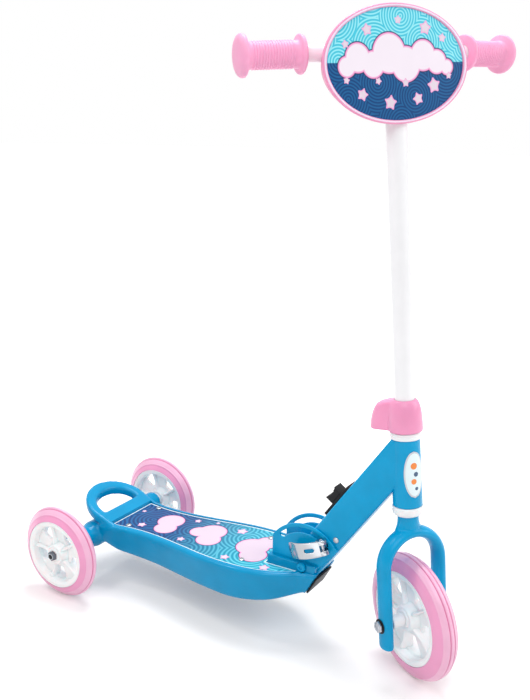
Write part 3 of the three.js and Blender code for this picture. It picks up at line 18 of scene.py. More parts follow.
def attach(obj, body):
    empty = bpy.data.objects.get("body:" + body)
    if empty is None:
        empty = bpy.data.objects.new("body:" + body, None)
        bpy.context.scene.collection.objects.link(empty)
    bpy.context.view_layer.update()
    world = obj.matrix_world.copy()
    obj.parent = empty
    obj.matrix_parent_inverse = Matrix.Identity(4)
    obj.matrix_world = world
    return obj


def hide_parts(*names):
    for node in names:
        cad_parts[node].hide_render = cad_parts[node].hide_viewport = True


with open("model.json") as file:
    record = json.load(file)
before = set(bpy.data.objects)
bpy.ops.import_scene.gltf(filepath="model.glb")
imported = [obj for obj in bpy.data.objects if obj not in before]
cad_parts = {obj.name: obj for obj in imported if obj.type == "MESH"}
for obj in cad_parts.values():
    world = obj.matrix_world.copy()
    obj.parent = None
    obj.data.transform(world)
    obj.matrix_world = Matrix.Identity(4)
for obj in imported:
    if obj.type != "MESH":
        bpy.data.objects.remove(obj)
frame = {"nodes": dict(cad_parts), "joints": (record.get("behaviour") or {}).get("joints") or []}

LOG = logging.getLogger("scooter")
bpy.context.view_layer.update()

Mesh = bpy.types.Mesh
Node = bpy.types.Node
Socket = bpy.types.NodeSocket
Tree = bpy.types.NodeTree
Given = bpy.types.NodeOutputs
Holder = bpy.types.Object
Point = tuple[float, float]
Place = tuple[float, float, float]

PIVOT = Vector((0.0, 80.0, 97.0))
STEERING_BACK = -46.8
LEAN = radians(5.88)
TURN = radians(-30.9)
FRONT_RADIUS = 70.0
FRONT_HEIGHT = FRONT_RADIUS * cos(asin(sin(TURN) * sin(LEAN)))
WHEEL_LEAD = 3.3
REAR_BACK = 382.0
REAR_RADIUS = 58.5
REAR_SIDE = 100.5
REAR_HUB_HALF = 13.5
SLOT_RADIUS = 42.4
SKEWER_ANGLE = radians(128)
NECK_ANGLE = radians(124)
NECK_LOWER = 18.4
COLLAR_HALF = 22.1
CHEEK_REAR = 123.0
NOSE_TOP = (64.1, 85.4)
NOSE_FOOT = (75.0, 65.0)
NOSE_CORNER = 94.6
GAP = 0.3


def packed_shift() -> Vector:
    """Gives the step in millimetres from the source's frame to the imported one, from the fold joint."""
    fold = next(joint for joint in frame["joints"] if joint["name"] == "fold")
    return Vector(fold["pos_m"]) * 1000 - PIVOT


SHIFT = packed_shift()
HEAD = Matrix.Translation((0, STEERING_BACK, FRONT_HEIGHT)) @ Matrix.Rotation(-LEAN, 4, "X")
STEERED = HEAD @ Matrix.Rotation(TURN, 4, "Z")
SIDEWAYS = Matrix(((0, 0, 1, 0), (1, 0, 0, 0), (0, 1, 0, 0), (0, 0, 0, 1)))
FLIP_Z = Matrix.Rotation(pi, 4, "Z")
STILL = Matrix.Identity(4)


class Axis(Enum):
    """The line that a turned shape goes round."""

    X = "x"
    Z = "z"


# Shapes.


class Draft:
    """The faces of one piece while it is being made, in millimetres."""

    def __init__(self) -> None:
        """Starts with no faces."""
        self.points: list[Vector] = []
        self.faces: list[tuple[int, ...]] = []

    def add(self, points: Iterable[Sequence[float]], faces: Iterable[Sequence[int]],
            place: Matrix | None = None) -> "Draft":
        """Adds points and the faces between them.

        Args:
            points: Corners, before the place is applied.
            faces: Corner numbers of each face.
            place: Where the shape goes.

        Returns:
            The draft itself.
        """
        start = len(self.points)
        turn = place or STILL
        self.points.extend(turn @ Vector(point) for point in points)
        self.faces.extend(tuple(start + i for i in face) for face in faces)
        return self

    def take(self, mesh: Mesh, place: Matrix | None = None) -> "Draft":
        """Adds a Blender mesh that holds millimetres, and removes it."""
        self.add([v.co[:] for v in mesh.vertices], [tuple(p.vertices) for p in mesh.polygons], place)
        bpy.data.meshes.remove(mesh)
        return self

    def turned(self, profile: Sequence[Point], sides: int = 64, axis: Axis = Axis.X,
               place: Matrix | None = None) -> "Draft":
        """Turns a profile of radius and place along the axis.

        Args:
            profile: Corners as radius and place along the axis.
            sides: Steps round the axis.
            axis: The line to turn round.
            place: Where the shape goes.

        Returns:
            The draft itself.
        """
        rings: list[list[Place]] = []
        for radius, along in profile:
            ring = [polar(radius, 2 * pi * i / sides) for i in range(sides)]
            rings.append([(along, c, s) if axis is Axis.X else (c, s, along) for c, s in ring])
        return self.loft(rings, place, False)

    def loft(self, rings: Sequence[Sequence[Sequence[float]]], place: Matrix | None = None,
             closed: bool = True) -> "Draft":
        """Skins rings of one count and, where asked, closes both ends."""
        count = len(rings[0])
        faces: list[tuple[int, ...]] = []
        for row in range(len(rings) - 1):
            for i in range(count):
                a, b = row * count + i, row * count + (i + 1) % count
                faces.append((a, b, b + count, a + count))
        if closed:
            faces.append(tuple(range(count)))
            faces.append(tuple((len(rings) - 1) * count + i for i in range(count)))
        return self.add([p for ring in rings for p in ring], faces, place)

    def plate(self, outline: Sequence[Point], low: float, high: float, edge: float = 0.0,
              holes: Sequence[Sequence[Point]] = (), place: Matrix | None = None) -> "Draft":
        """Thickens a flat outline with holes, with rounded edges.

        Args:
            outline: Corners of the outline.
            low: Lower face.
            high: Upper face.
            edge: Radius of the rounded edges.
            holes: Outlines of the holes.
            place: Where the plate goes.

        Returns:
            The draft itself.
        """
        curve = bpy.data.curves.new("outline", "CURVE")
        curve.dimensions = "2D"
        curve.fill_mode = "BOTH"
        curve.extrude = (high - low) / 2 - edge
        curve.bevel_depth = edge
        curve.bevel_resolution = 2
        curve.offset = -edge
        for loop in (outline, *holes):
            spline = curve.splines.new("POLY")
            spline.points.add(len(loop) - 1)
            for corner, (x, y) in zip(spline.points, loop):
                corner.co = (x, y, 0, 1)
            spline.use_cyclic_u = True
        lift = Matrix.Translation((0, 0, (high + low) / 2))
        return self.take(evaluated(curve), (place or STILL) @ lift)

    def slab(self, outline: Sequence[Point], low: float, high: float, edge: float = 0.0,
             holes: Sequence[Sequence[Point]] = ()) -> "Draft":
        """Thickens an outline in y and z from one x to another, as plate does."""
        return self.plate(outline, low, high, edge, holes, SIDEWAYS)

    def box(self, low: Place, high: Place, place: Matrix | None = None) -> "Draft":
        """Adds a block between two corners."""
        points = [(x, y, z) for x in (low[0], high[0]) for y in (low[1], high[1]) for z in (low[2], high[2])]
        faces = [(0, 1, 3, 2), (4, 6, 7, 5), (0, 4, 5, 1), (2, 3, 7, 6), (0, 2, 6, 4), (1, 5, 7, 3)]
        return self.add(points, faces, place)

    def mesh(self, name: str = "draft") -> Mesh:
        """Makes a clean mesh in millimetres, with faces pointing out."""
        mesh = bpy.data.meshes.new(name)
        mesh.from_pydata([p[:] for p in self.points], [], self.faces)
        work = bmesh.new()
        work.from_mesh(mesh)
        bmesh.ops.remove_doubles(work, verts=work.verts, dist=0.002)
        bmesh.ops.dissolve_degenerate(work, edges=work.edges, dist=0.001)
        bmesh.ops.recalc_face_normals(work, faces=work.faces)
        work.to_mesh(mesh)
        work.free()
        return mesh


def evaluated(data: bpy.types.ID, dress: Callable[[Holder], None] | None = None) -> Mesh:
    """Makes a plain mesh of a curve or mesh, once its modifiers have run.

    Args:
        data: The curve or mesh, which is removed.
        dress: Adds modifiers to the object that holds it.

    Returns:
        The finished mesh.
    """
    work = bpy.data.objects.new("work", data)
    bpy.context.scene.collection.objects.link(work)
    if dress:
        dress(work)
    graph = bpy.context.evaluated_depsgraph_get()
    graph.update()
    mesh = bpy.data.meshes.new_from_object(work.evaluated_get(graph))
    bpy.data.objects.remove(work)
    (bpy.data.curves if isinstance(data, bpy.types.Curve) else bpy.data.meshes).remove(data)
    return mesh


def carved(base: Mesh, cutters: Sequence[tuple[str, Draft]]) -> Mesh:
    """Cuts drafts out of a mesh, or adds them.

    Args:
        base: The mesh to work on, in millimetres.
        cutters: Pairs of DIFFERENCE, UNION or INTERSECT and a draft.

    Returns:
        The mesh that is left.
    """
    helpers = []

    def dress(work: Holder) -> None:
        """Adds one boolean for each cutter."""
        for mode, draft in cutters:
            helper = bpy.data.objects.new("cutter", draft.mesh())
            bpy.context.scene.collection.objects.link(helper)
            helpers.append(helper)
            step = work.modifiers.new("cut", "BOOLEAN")
            step.operation = mode
            step.solver = "EXACT"
            step.object = helper

    mesh = evaluated(base, dress)
    for helper in helpers:
        data = helper.data
        bpy.data.objects.remove(helper)
        bpy.data.meshes.remove(data)
    return mesh


def moulded(draft: Draft, voxel: float, rounds: int) -> Mesh:
    """Melts overlapping shapes into one skin with soft corners.

    Args:
        draft: The overlapping shapes.
        voxel: Grid size of the new skin.
        rounds: How often it is smoothed.

    Returns:
        The skin.
    """

    def dress(work: Holder) -> None:
        """Adds the remesh and the smoothing."""
        melt = work.modifiers.new("melt", "REMESH")
        melt.mode = "VOXEL"
        melt.voxel_size = voxel
        soften = work.modifiers.new("soften", "SMOOTH")
        soften.factor = 0.5
        soften.iterations = rounds

    return evaluated(draft.mesh(), dress)


def eased(draft: Draft, width: float, thickness: float = 0.0) -> Mesh:
    """Rounds the sharp edges of a draft, after giving a sheet its thickness."""

    def dress(work: Holder) -> None:
        """Adds the wall and the rounding."""
        if thickness:
            wall = work.modifiers.new("wall", "SOLIDIFY")
            wall.thickness = thickness
            wall.offset = -1
        ease = work.modifiers.new("ease", "BEVEL")
        ease.width = width
        ease.segments = 3
        ease.limit_method = "ANGLE"
        ease.angle_limit = radians(35)

    return evaluated(draft.mesh(), dress)


def moved(x: float, y: float, z: float) -> Matrix:
    """Gives the matrix of a step."""
    return Matrix.Translation((x, y, z))


def shifted(profile: Sequence[Point], step: float) -> list[Point]:
    """Moves a profile along its axis."""
    return [(radius, along + step) for radius, along in profile]


def oval(wide: float, long: float, count: int) -> list[Point]:
    """Gives points round an oval."""
    return [(wide * cos(2 * pi * i / count), long * sin(2 * pi * i / count)) for i in range(count)]


def polar(radius: float, angle: float, x: float = 0.0, y: float = 0.0) -> Point:
    """Gives the point at an angle round a centre."""
    return x + radius * cos(angle), y + radius * sin(angle)


def arc(radius: float, start: float, end: float, x: float = 0.0, y: float = 0.0,
        step: float = 0.08) -> list[Point]:
    """Gives points along an arc."""
    count = max(2, ceil(abs(end - start) / step))
    return [polar(radius, start + (end - start) * i / count, x, y) for i in range(count + 1)]


def flowing(stations: Sequence[Point], at: float) -> float:
    """Reads a smooth curve through stations.

    Args:
        stations: Pairs of place and value, in order.
        at: Where to read.

    Returns:
        The value there.
    """
    xs, ys = [s[0] for s in stations], [s[1] for s in stations]
    if at <= xs[0]:
        return ys[0]
    if at >= xs[-1]:
        return ys[-1]
    i = max(k for k in range(len(xs) - 1) if xs[k] <= at)

    def slope(k: int) -> float:
        """Gives the curve's slope at a station."""
        a, b = max(0, k - 1), min(len(xs) - 1, k + 1)
        return (ys[b] - ys[a]) / (xs[b] - xs[a])

    w = xs[i + 1] - xs[i]
    t = (at - xs[i]) / w
    value = (2 * t**3 - 3 * t**2 + 1) * ys[i] + (3 * t**2 - 2 * t**3) * ys[i + 1]
    return value + w * ((t**3 - 2 * t**2 + t) * slope(i) + (t**3 - t**2) * slope(i + 1))


# Finishes.


def linear(code: int) -> tuple[float, float, float, float]:
    """Turns a written colour into Blender's own values."""
    parts = [((code >> shift) & 255) / 255 for shift in (16, 8, 0)]
    return (*(p / 12.92 if p < 0.04045 else ((p + 0.055) / 1.055) ** 2.4 for p in parts), 1.0)


class Graph:
    """Places and joins the nodes of one tree."""

    def __init__(self, tree: Tree) -> None:
        """Keeps the tree."""
        self.tree = tree

    def node(self, kind: str, values: dict | None = None, **settings: object) -> Node:
        """Adds a node.

        Args:
            kind: Blender's name of the node type.
            values: Input values by name or number, as feed takes them.
            settings: Properties of the node.

        Returns:
            The node.
        """
        node = self.tree.nodes.new(kind)
        for key, value in settings.items():
            setattr(node, key, value)
        self.feed(node, values or {})
        return node

    def feed(self, node: Node, values: dict) -> None:
        """Sets a node's inputs; a socket or a node's first output is linked."""
        for key, value in values.items():
            value = value.outputs[0] if isinstance(value, Node) else value
            if isinstance(value, Socket):
                self.tree.links.new(value, node.inputs[key])
            else:
                node.inputs[key].default_value = value

    def math(self, operation: str, first: object, second: object = 0.0) -> Socket:
        """Adds a sum of two values."""
        return self.node("ShaderNodeMath", {0: first, 1: second}, operation=operation).outputs[0]

    def span(self, value: object, low: float, high: float, start: float = 0.0, end: float = 1.0,
             **settings: object) -> Socket:
        """Adds a change of range, from low and high to start and end."""
        return self.node("ShaderNodeMapRange", {"Value": value, 1: low, 2: high, 3: start, 4: end},
                         **settings).outputs[0]

    def triple(self, *values: object) -> Node:
        """Adds a vector of up to three values."""
        return self.node("ShaderNodeCombineXYZ", dict(enumerate(values)))

    def mix(self, share: object, first: object, second: object, blend: str = "MIX") -> Socket:
        """Adds a mix of two colours."""
        node = self.node("ShaderNodeMix", {0: share, 6: first, 7: second}, data_type="RGBA", blend_type=blend)
        return node.outputs[2]

    def ramp(self, value: object, stops: Sequence[tuple[float, Sequence[float]]]) -> Socket:
        """Adds a colour ramp with given stops."""
        node = self.node("ShaderNodeValToRGB", {0: value})
        while len(node.color_ramp.elements) < len(stops):
            node.color_ramp.elements.new(0.5)
        for element, (place, colour) in zip(node.color_ramp.elements, stops):
            element.position = place
            element.color = colour
        return node.outputs[0]


def shader_group(name: str, inputs: Sequence[tuple[str, str, float]], outputs: Sequence[tuple[str, str]],
                 fill: Callable[[Graph, Given], dict]) -> Tree:
    """Makes a shader node group once.

    Args:
        name: The group's name.
        inputs: Name, socket type and value of each input.
        outputs: Name and socket type of each output.
        fill: Places the nodes and gives what each output is fed with.

    Returns:
        The group.
    """
    if name in bpy.data.node_groups:
        return bpy.data.node_groups[name]
    tree = bpy.data.node_groups.new(name, "ShaderNodeTree")
    for label, kind, value in inputs:
        socket = tree.interface.new_socket(label, in_out="INPUT", socket_type=kind)
        if kind == "NodeSocketFloat":
            socket.default_value = value
    for label, kind in outputs:
        tree.interface.new_socket(label, in_out="OUTPUT", socket_type=kind)
    graph = Graph(tree)
    graph.node("NodeGroupOutput", fill(graph, graph.node("NodeGroupInput").outputs))
    return tree


def fill_grain(graph: Graph, given: Given) -> dict:
    """Makes a fine height and a soft tone from noise."""
    fine = graph.node("ShaderNodeTexNoise",
                      {"Vector": given["Place"], "Scale": given["Scale"], "Detail": 4.0, "Roughness": 0.6})
    broad = graph.node("ShaderNodeTexNoise", {"Vector": given["Place"], "Scale": 34.0, "Detail": 2.0})
    return {"Height": fine, "Tone": broad}


def fill_scuff(graph: Graph, given: Given) -> dict:
    """Makes thin handling marks as a mask."""
    stretch = graph.node("ShaderNodeMapping",
                         {"Vector": given["Place"], "Rotation": (0.3, 0.5, 0.9), "Scale": (1.0, 9.0, 1.0)})
    lines = graph.node("ShaderNodeTexNoise",
                       {"Vector": stretch, "Scale": given["Scale"], "Detail": 6.0, "Roughness": 0.7})
    return {"Mask": graph.span(lines.outputs[0], 0.58, 0.78)}


def grain_group() -> Tree:
    """Gives the group for moulded and cast skins."""
    return shader_group("moulded grain",
                        [("Place", "NodeSocketVector", 0), ("Scale", "NodeSocketFloat", 900.0)],
                        [("Height", "NodeSocketFloat"), ("Tone", "NodeSocketFloat")], fill_grain)


def scuff_group() -> Tree:
    """Gives the group for handling marks."""
    return shader_group("handling marks",
                        [("Place", "NodeSocketVector", 0), ("Scale", "NodeSocketFloat", 60.0)],
                        [("Mask", "NodeSocketFloat")], fill_scuff)


@dataclass(frozen=True)
class Finish:
    """The look of one kind of surface."""

    name: str
    slot: str
    colour: int
    roughness: float = 0.35
    metallic: float = 0.0
    coat: float = 0.0
    grain_scale: float = 900.0
    grain: float = 0.03
    tone: float = 0.04
    scuff: float = 0.06
    glow_through: float = 0.0
    shine: float = 0.5

    def colour_of(self, graph: Graph, tone: Socket) -> Socket:
        """Gives the base colour with its soft change of tone."""
        base = linear(self.colour)
        dark = tuple(c * (1 - self.tone) for c in base[:3]) + (1.0,)
        light = tuple(min(1.0, c * (1 + self.tone / 2)) for c in base[:3]) + (1.0,)
        return graph.ramp(tone, [(0.35, dark), (0.65, light)])

    def material(self) -> bpy.types.Material:
        """Makes the material once and gives it."""
        if self.name in bpy.data.materials:
            return bpy.data.materials[self.name]
        made = bpy.data.materials.new(self.name)
        made.use_nodes = True
        graph = Graph(made.node_tree)
        shader = made.node_tree.nodes["Principled BSDF"]
        place = graph.node("ShaderNodeTexCoord").outputs["Object"]
        grain = graph.node("ShaderNodeGroup", node_tree=grain_group())
        scuff = graph.node("ShaderNodeGroup", node_tree=scuff_group())
        graph.feed(grain, {"Place": place, "Scale": self.grain_scale})
        graph.feed(scuff, {"Place": place})
        rough = graph.node("ShaderNodeMath", {0: scuff, 1: self.scuff, 2: self.roughness},
                           operation="MULTIPLY_ADD")
        bump = graph.node("ShaderNodeBump",
                          {"Height": grain.outputs["Height"], "Strength": self.grain, "Distance": 0.0004})
        graph.feed(shader, {"Base Color": self.colour_of(graph, grain.outputs["Tone"]), "Roughness": rough,
                            "Normal": bump, "Metallic": self.metallic, "Coat Weight": self.coat,
                            "Coat Roughness": 0.08, "Specular IOR Level": self.shine})
        if self.glow_through:
            graph.feed(shader, {"Subsurface Weight": self.glow_through,
                                "Subsurface Radius": (0.004, 0.002, 0.002), "Subsurface Scale": 0.5})
        return made


@dataclass(frozen=True)
class Print(Finish):
    """A printed film: rings over a graded ground, with a bank of soft clouds."""

    low: int = 0x0E4C7E
    high: int = 0x35BFDC
    ring_low: int = 0x2E86BE
    ring_high: int = 0x8FE6F2
    split_from: float = -0.05
    split_to: float = 0.05
    along: int = 1
    cell: float = 5.0
    rings: float = 60.0
    cloud: int = 0xF4EAF4
    clouds: tuple[tuple[float, float, float], ...] = ()

    def colour_of(self, graph: Graph, tone: Socket) -> Socket:
        """Draws the ground, the rings and the clouds in the film's own coordinates."""
        film = graph.node("ShaderNodeUVMap", uv_map="film").outputs[0]
        parts = graph.node("ShaderNodeSeparateXYZ", {0: film})
        share = graph.span(parts.outputs[self.along], self.split_from, self.split_to)
        ground = graph.mix(share, linear(self.low), linear(self.high))
        ring = graph.mix(share, linear(self.ring_low), linear(self.ring_high))
        cells = graph.node("ShaderNodeTexVoronoi", {"Vector": film, "Scale": self.cell, "Randomness": 0.85},
                           voronoi_dimensions="2D")
        wave = graph.math("PINGPONG", graph.math("MULTIPLY", cells.outputs["Distance"], self.rings), 0.5)
        line = graph.span(wave, 0.2, 0.34, 0.0, 0.8)
        colour = graph.mix(line, ground, ring)
        reach: Socket | None = None
        for x, y, radius in self.clouds:
            away = graph.node("ShaderNodeVectorMath", {0: film, 1: (x, y, 0)},
                              operation="DISTANCE").outputs["Value"]
            away = graph.math("SUBTRACT", away, radius)
            reach = away if reach is None else graph.math("MINIMUM", reach, away)
        if reach is not None:
            bands = [(0.0, linear(self.cloud)), (0.40, linear(self.cloud)), (0.52, linear(0xF1B4D8)),
                     (0.66, linear(0xF08CC8)), (0.72, linear(0x27405F))]
            cover = graph.span(reach, 0.004, 0.012, 1.0, 0.0)
            colour = graph.mix(cover, colour, graph.ramp(graph.span(reach, -0.05, 0.02), bands))
        return graph.mix(0.05, colour, graph.ramp(tone, [(0.3, (0.6, 0.6, 0.6, 1)), (0.7, (1, 1, 1, 1))]),
                         "MULTIPLY")


BLUE = Finish("glossy blue plastic", "blue_plastic", 0x0092C4, roughness=0.2, tone=0.05, shine=0.22)
BLUE_PAINT = Finish("blue powder coat", "blue_metal", 0x009FD3, tone=0.06, roughness=0.24, grain_scale=1500,
                    grain=0.05, shine=0.18)
WHITE_PAINT = Finish("white painted tube", "white_metal", 0xF4F4F6, roughness=0.28, coat=0.3, grain=0.02,
                     tone=0.02)
WHITE = Finish("white plastic", "white_plastic", 0xF4F4F6, roughness=0.36, coat=0.1, tone=0.03,
               glow_through=0.3)
FROSTED = Finish("frosted white casting", "white_plastic", 0xFCFBFC, roughness=0.4, tone=0.02,
                 glow_through=0.6)
SILVER = Finish("pale grey badge edge", "white_plastic", 0xCDD2D8, coat=0.2)
PINK = Finish("pink plastic", "pink_plastic", 0xF29AC2, roughness=0.3, coat=0.1, glow_through=0.1, shine=0.4)
LILAC = Finish("lilac moulding", "pink_plastic", 0xF3DCF1, coat=0.2)
PINK_GRIP = Finish("soft pink grip", "pink_grip", 0xF8A9CE, roughness=0.5, grain_scale=1400, grain=0.12,
                   tone=0.05, glow_through=0.1)
PINK_TYRE = Finish("pink cast tyre", "pink_tyre", 0xF09EC7, roughness=0.3, coat=0.2, grain_scale=700,
                   grain=0.06, glow_through=0.1)
# Paler pink band over the tread: painted highlight of the light falling on the tread, not a colour of its
# own.
PINK_TREAD_HIGHLIGHT = Finish("pink tread with painted highlight", "pink_tyre", 0xF9BAD8, roughness=0.34, coat=0.2, grain_scale=700,
                    grain=0.06, glow_through=0.1)
# Darker pink of the bands in the tyre grooves: painted shade of the grooves, not a colour of the tyre.
PINK_GROOVE_SHADE = Finish("pink groove with painted shade", "pink_tyre", 0xE486B4, roughness=0.45, coat=0.1, grain_scale=700,
                   grain=0.06)
BLACK = Finish("black plastic", "black_plastic", 0x111216, roughness=0.45, grain_scale=1600, grain=0.2,
               tone=0.2, shine=0.22)
STEEL = Finish("plated steel", "steel", 0xB4B8BF, roughness=0.32, metallic=1.0, grain=0.05, tone=0.12,
               scuff=0.2)
DARK_STEEL = Finish("dark steel", "steel", 0x6C7078, roughness=0.38, metallic=1.0, grain=0.08, tone=0.15,
                    scuff=0.2)
CHROME = Finish("polished chrome", "chrome", 0xB6B9BE, roughness=0.14, metallic=1.0, grain=0.02, tone=0.05,
                scuff=0.12)
FILM_WHITE, FILM_ORANGE, FILM_NAVY, STAR_WHITE, STAR_PINK = (Finish(name, "printed_film", colour, grain=0.02,
    tone=0.03) for name, colour in (("white film edge", 0xE6F6FA), ("orange film dot", 0xF08A3C),
                                    ("navy film dot", 0x3A5878), ("white film star", 0xE2D3E0),
                                    ("pink film star", 0xF3A6D6)))
DECK_FILM = Print("deck film", "printed_film", 0x1B79AA, tone=0.06, grain=0.05, shine=0.2, low=0x17A0BE,
                  high=0x0A3A74, ring_low=0x6FDCEC, ring_high=0x1E6AA4, split_from=1.5, split_to=2.7,
                  cell=2.1, rings=9.0, cloud=0xDBC9D9,
                  clouds=((-0.16, 1.5, 0.17), (0.02, 1.62, 0.21), (0.2, 1.52, 0.15), (0.1, 2.28, 0.19),
                          (-0.1, 2.2, 0.16), (0.02, 2.42, 0.13), (-0.12, 2.86, 0.15), (0.08, 2.92, 0.18)))
PLATE_FILM = Print("plate film", "printed_film", 0x1B79AA, tone=0.06, roughness=0.3, grain=0.04, shine=0.2,
                   low=0x0C4379, high=0x45C6DE, ring_low=0x1E679F, ring_high=0xA6F0F6, split_from=0.012,
                   split_to=0.02, cell=2.6, rings=13.0,
                   clouds=((-0.56, -0.02, 0.1), (-0.44, 0.06, 0.14), (-0.27, 0.0, 0.13), (-0.09, 0.1, 0.19),
                           (0.1, 0.0, 0.17), (0.3, 0.08, 0.15), (0.46, 0.02, 0.12), (0.58, -0.03, 0.08)))


# Growing shapes by rule.


class Grower:
    """Makes geometry node trees with named inputs, and runs them."""

    KINDS: dict[type, str] = {int: "NodeSocketInt", float: "NodeSocketFloat", Holder: "NodeSocketObject",
                              bpy.types.Material: "NodeSocketMaterial"}

    @classmethod
    def tree(cls, name: str, values: dict[str, object], fill: Callable[[Graph, Given], Node]) -> Tree:
        """Makes a geometry tree once.

        Args:
            name: The tree's name.
            values: The named inputs, whose types give the kinds of their sockets.
            fill: Places the nodes and gives the geometry that they end in.

        Returns:
            The tree, which ends in Realize Instances and Set Material.
        """
        if name in bpy.data.node_groups:
            return bpy.data.node_groups[name]
        tree = bpy.data.node_groups.new(name, "GeometryNodeTree")
        tree.interface.new_socket("Geometry", in_out="INPUT", socket_type="NodeSocketGeometry")
        for label, value in values.items():
            tree.interface.new_socket(label, in_out="INPUT", socket_type=cls.KINDS[type(value)])
        tree.interface.new_socket("Geometry", in_out="OUTPUT", socket_type="NodeSocketGeometry")
        graph = Graph(tree)
        given = graph.node("NodeGroupInput").outputs
        real = graph.node("GeometryNodeRealizeInstances", {"Geometry": fill(graph, given)})
        dress = graph.node("GeometryNodeSetMaterial", {"Geometry": real, "Material": given["Finish"]})
        graph.node("NodeGroupOutput", {0: dress})
        return tree

    @classmethod
    def run(cls, name: str, fill: Callable[[Graph, Given], Node], mesh: Mesh, finish: Finish,
            **sizes: object) -> Mesh:
        """Runs a tree on a mesh, with its inputs set by identifier.

        Args:
            name: The tree's name.
            fill: Places the tree's nodes.
            mesh: What it works on.
            finish: The finish.
            sizes: Input values by name.

        Returns:
            A plain mesh.
        """
        values = {**sizes, "Finish": finish.material()}
        tree = cls.tree(name, values, fill)

        def dress(work: Holder) -> None:
            """Adds the tree and sets its inputs before it runs."""
            step = work.modifiers.new("grow", "NODES")
            step.node_group = tree
            for item in tree.interface.items_tree:
                if item.item_type == "SOCKET" and item.in_out == "INPUT" and item.name in values:
                    step[item.identifier] = values[item.name]

        return evaluated(mesh, dress)

    @classmethod
    def round_axis(cls, draft: Draft, count: int, finish: Finish) -> Mesh:
        """Repeats a shape round the X axis."""

        def fill(graph: Graph, given: Given) -> Node:
            """Puts a copy at each even turn."""
            points = graph.node("GeometryNodeMeshLine", {"Count": given["Count"], "Offset": (0, 0, 0)})
            part = graph.math("DIVIDE", 2 * pi, given["Count"])
            index = graph.node("GeometryNodeInputIndex").outputs[0]
            return graph.node("GeometryNodeInstanceOnPoints",
                              {"Points": points, "Instance": given["Geometry"],
                               "Rotation": graph.triple(graph.math("MULTIPLY", index, part))})

        return cls.run("copies round an axle", fill, draft.mesh(), finish, Count=count)

    @classmethod
    def rib_row(cls, count: int, pitch: float, radius: float, rib: float, finish: Finish) -> Mesh:
        """Makes a row of round ribs along X."""

        def fill(graph: Graph, given: Given) -> Node:
            """Sweeps one rib and sets it out along a line."""
            hoop = graph.node("GeometryNodeCurvePrimitiveCircle",
                              {"Resolution": 48, "Radius": given["Radius"]})
            bead = graph.node("GeometryNodeCurvePrimitiveCircle", {"Resolution": 10, "Radius": given["Rib"]})
            ring = graph.node("GeometryNodeCurveToMesh", {"Curve": hoop, "Profile Curve": bead})
            points = graph.node("GeometryNodeMeshLine",
                                {"Count": given["Count"], "Offset": graph.triple(given["Pitch"])})
            return graph.node("GeometryNodeInstanceOnPoints",
                              {"Points": points, "Instance": ring, "Rotation": (0, pi / 2, 0)})

        return cls.run("row of round ribs", fill, bpy.data.meshes.new("none"), finish, Count=count,
                       Pitch=pitch, Radius=radius, Rib=rib)

    @classmethod
    def swept(cls, path: Sequence[Place], shares: Sequence[float], across: float, deep: float, sides: int,
              finish: Finish) -> Mesh:
        """Sweeps an oval along a path that lies in the X and Y plane.

        Args:
            path: Points of the path.
            shares: Share of the full section at each point.
            across: Half size in the plane.
            deep: Half size along Z.
            sides: Points round the section.
            finish: The finish.

        Returns:
            The tube, closed at both ends.
        """

        def fill(graph: Graph, given: Given) -> Node:
            """Turns the path to a curve and sweeps the oval along it."""
            curve = graph.node("GeometryNodeMeshToCurve", {"Mesh": given["Geometry"]})
            share = graph.node("GeometryNodeInputNamedAttribute", {"Name": "share"}, data_type="FLOAT")
            upright = graph.node("GeometryNodeSetCurveNormal", {"Curve": curve}, mode="Z_UP")
            ring = graph.node("GeometryNodeCurvePrimitiveCircle",
                              {"Resolution": given["Sides"], "Radius": 1.0})
            size = graph.triple(given["Across"], given["Deep"], 1.0)
            oval = graph.node("GeometryNodeTransform", {"Geometry": ring, "Scale": size})
            return graph.node("GeometryNodeCurveToMesh",
                              {"Curve": upright, "Profile Curve": oval, "Fill Caps": True,
                               "Scale": share.outputs["Attribute"]})

        line = bpy.data.meshes.new("path")
        line.from_pydata(path, [(i, i + 1) for i in range(len(path) - 1)], [])
        line.attributes.new("share", "FLOAT", "POINT").data.foreach_set("value", list(shares))
        return cls.run("oval tube on a path", fill, line, finish, Sides=sides, Across=across, Deep=deep)

    @classmethod
    def scattered(cls, template: Draft, spots: Sequence[Place], sizes: Sequence[float], turn: float,
                  seed: int, finish: Finish) -> Mesh:
        """Sets copies of a shape on spots, each with its size and a turn about Z.

        Args:
            template: The shape.
            spots: Where the copies go.
            sizes: Size share of each copy.
            turn: Largest turn either way.
            seed: Fixed seed of the turns.
            finish: The finish.

        Returns:
            The copies as one mesh.
        """

        def fill(graph: Graph, given: Given) -> Node:
            """Puts the copies on the spots."""
            low = graph.triple(0, 0, graph.math("MULTIPLY", given["Turn"], -1.0))
            high = graph.triple(0, 0, given["Turn"])
            angle = graph.node("FunctionNodeRandomValue", {0: low, 1: high, "Seed": given["Seed"]},
                               data_type="FLOAT_VECTOR")
            size = graph.node("GeometryNodeInputNamedAttribute", {"Name": "size"}, data_type="FLOAT")
            shape = graph.node("GeometryNodeObjectInfo", {"Object": given["Shape"]})
            return graph.node("GeometryNodeInstanceOnPoints",
                              {"Points": given["Geometry"], "Instance": shape.outputs["Geometry"],
                               "Rotation": angle, "Scale": size.outputs["Attribute"]})

        shape = bpy.data.objects.new("shape", template.mesh())
        bpy.context.scene.collection.objects.link(shape)
        dots = bpy.data.meshes.new("spots")
        dots.from_pydata(list(spots), [], [])
        dots.attributes.new("size", "FLOAT", "POINT").data.foreach_set("value", list(sizes))
        made = cls.run("copies on spots", fill, dots, finish, Shape=shape, Turn=turn, Seed=seed)
        data = shape.data
        bpy.data.objects.remove(shape)
        bpy.data.meshes.remove(data)
        return made


def stack(meshes: Sequence[Mesh | Draft]) -> Draft:
    """Gathers meshes and drafts into one draft."""
    whole = Draft()
    for part in meshes:
        if isinstance(part, Draft):
            whole.add([p[:] for p in part.points], part.faces)
        else:
            whole.take(part)
    return whole


# The sub-assemblies.


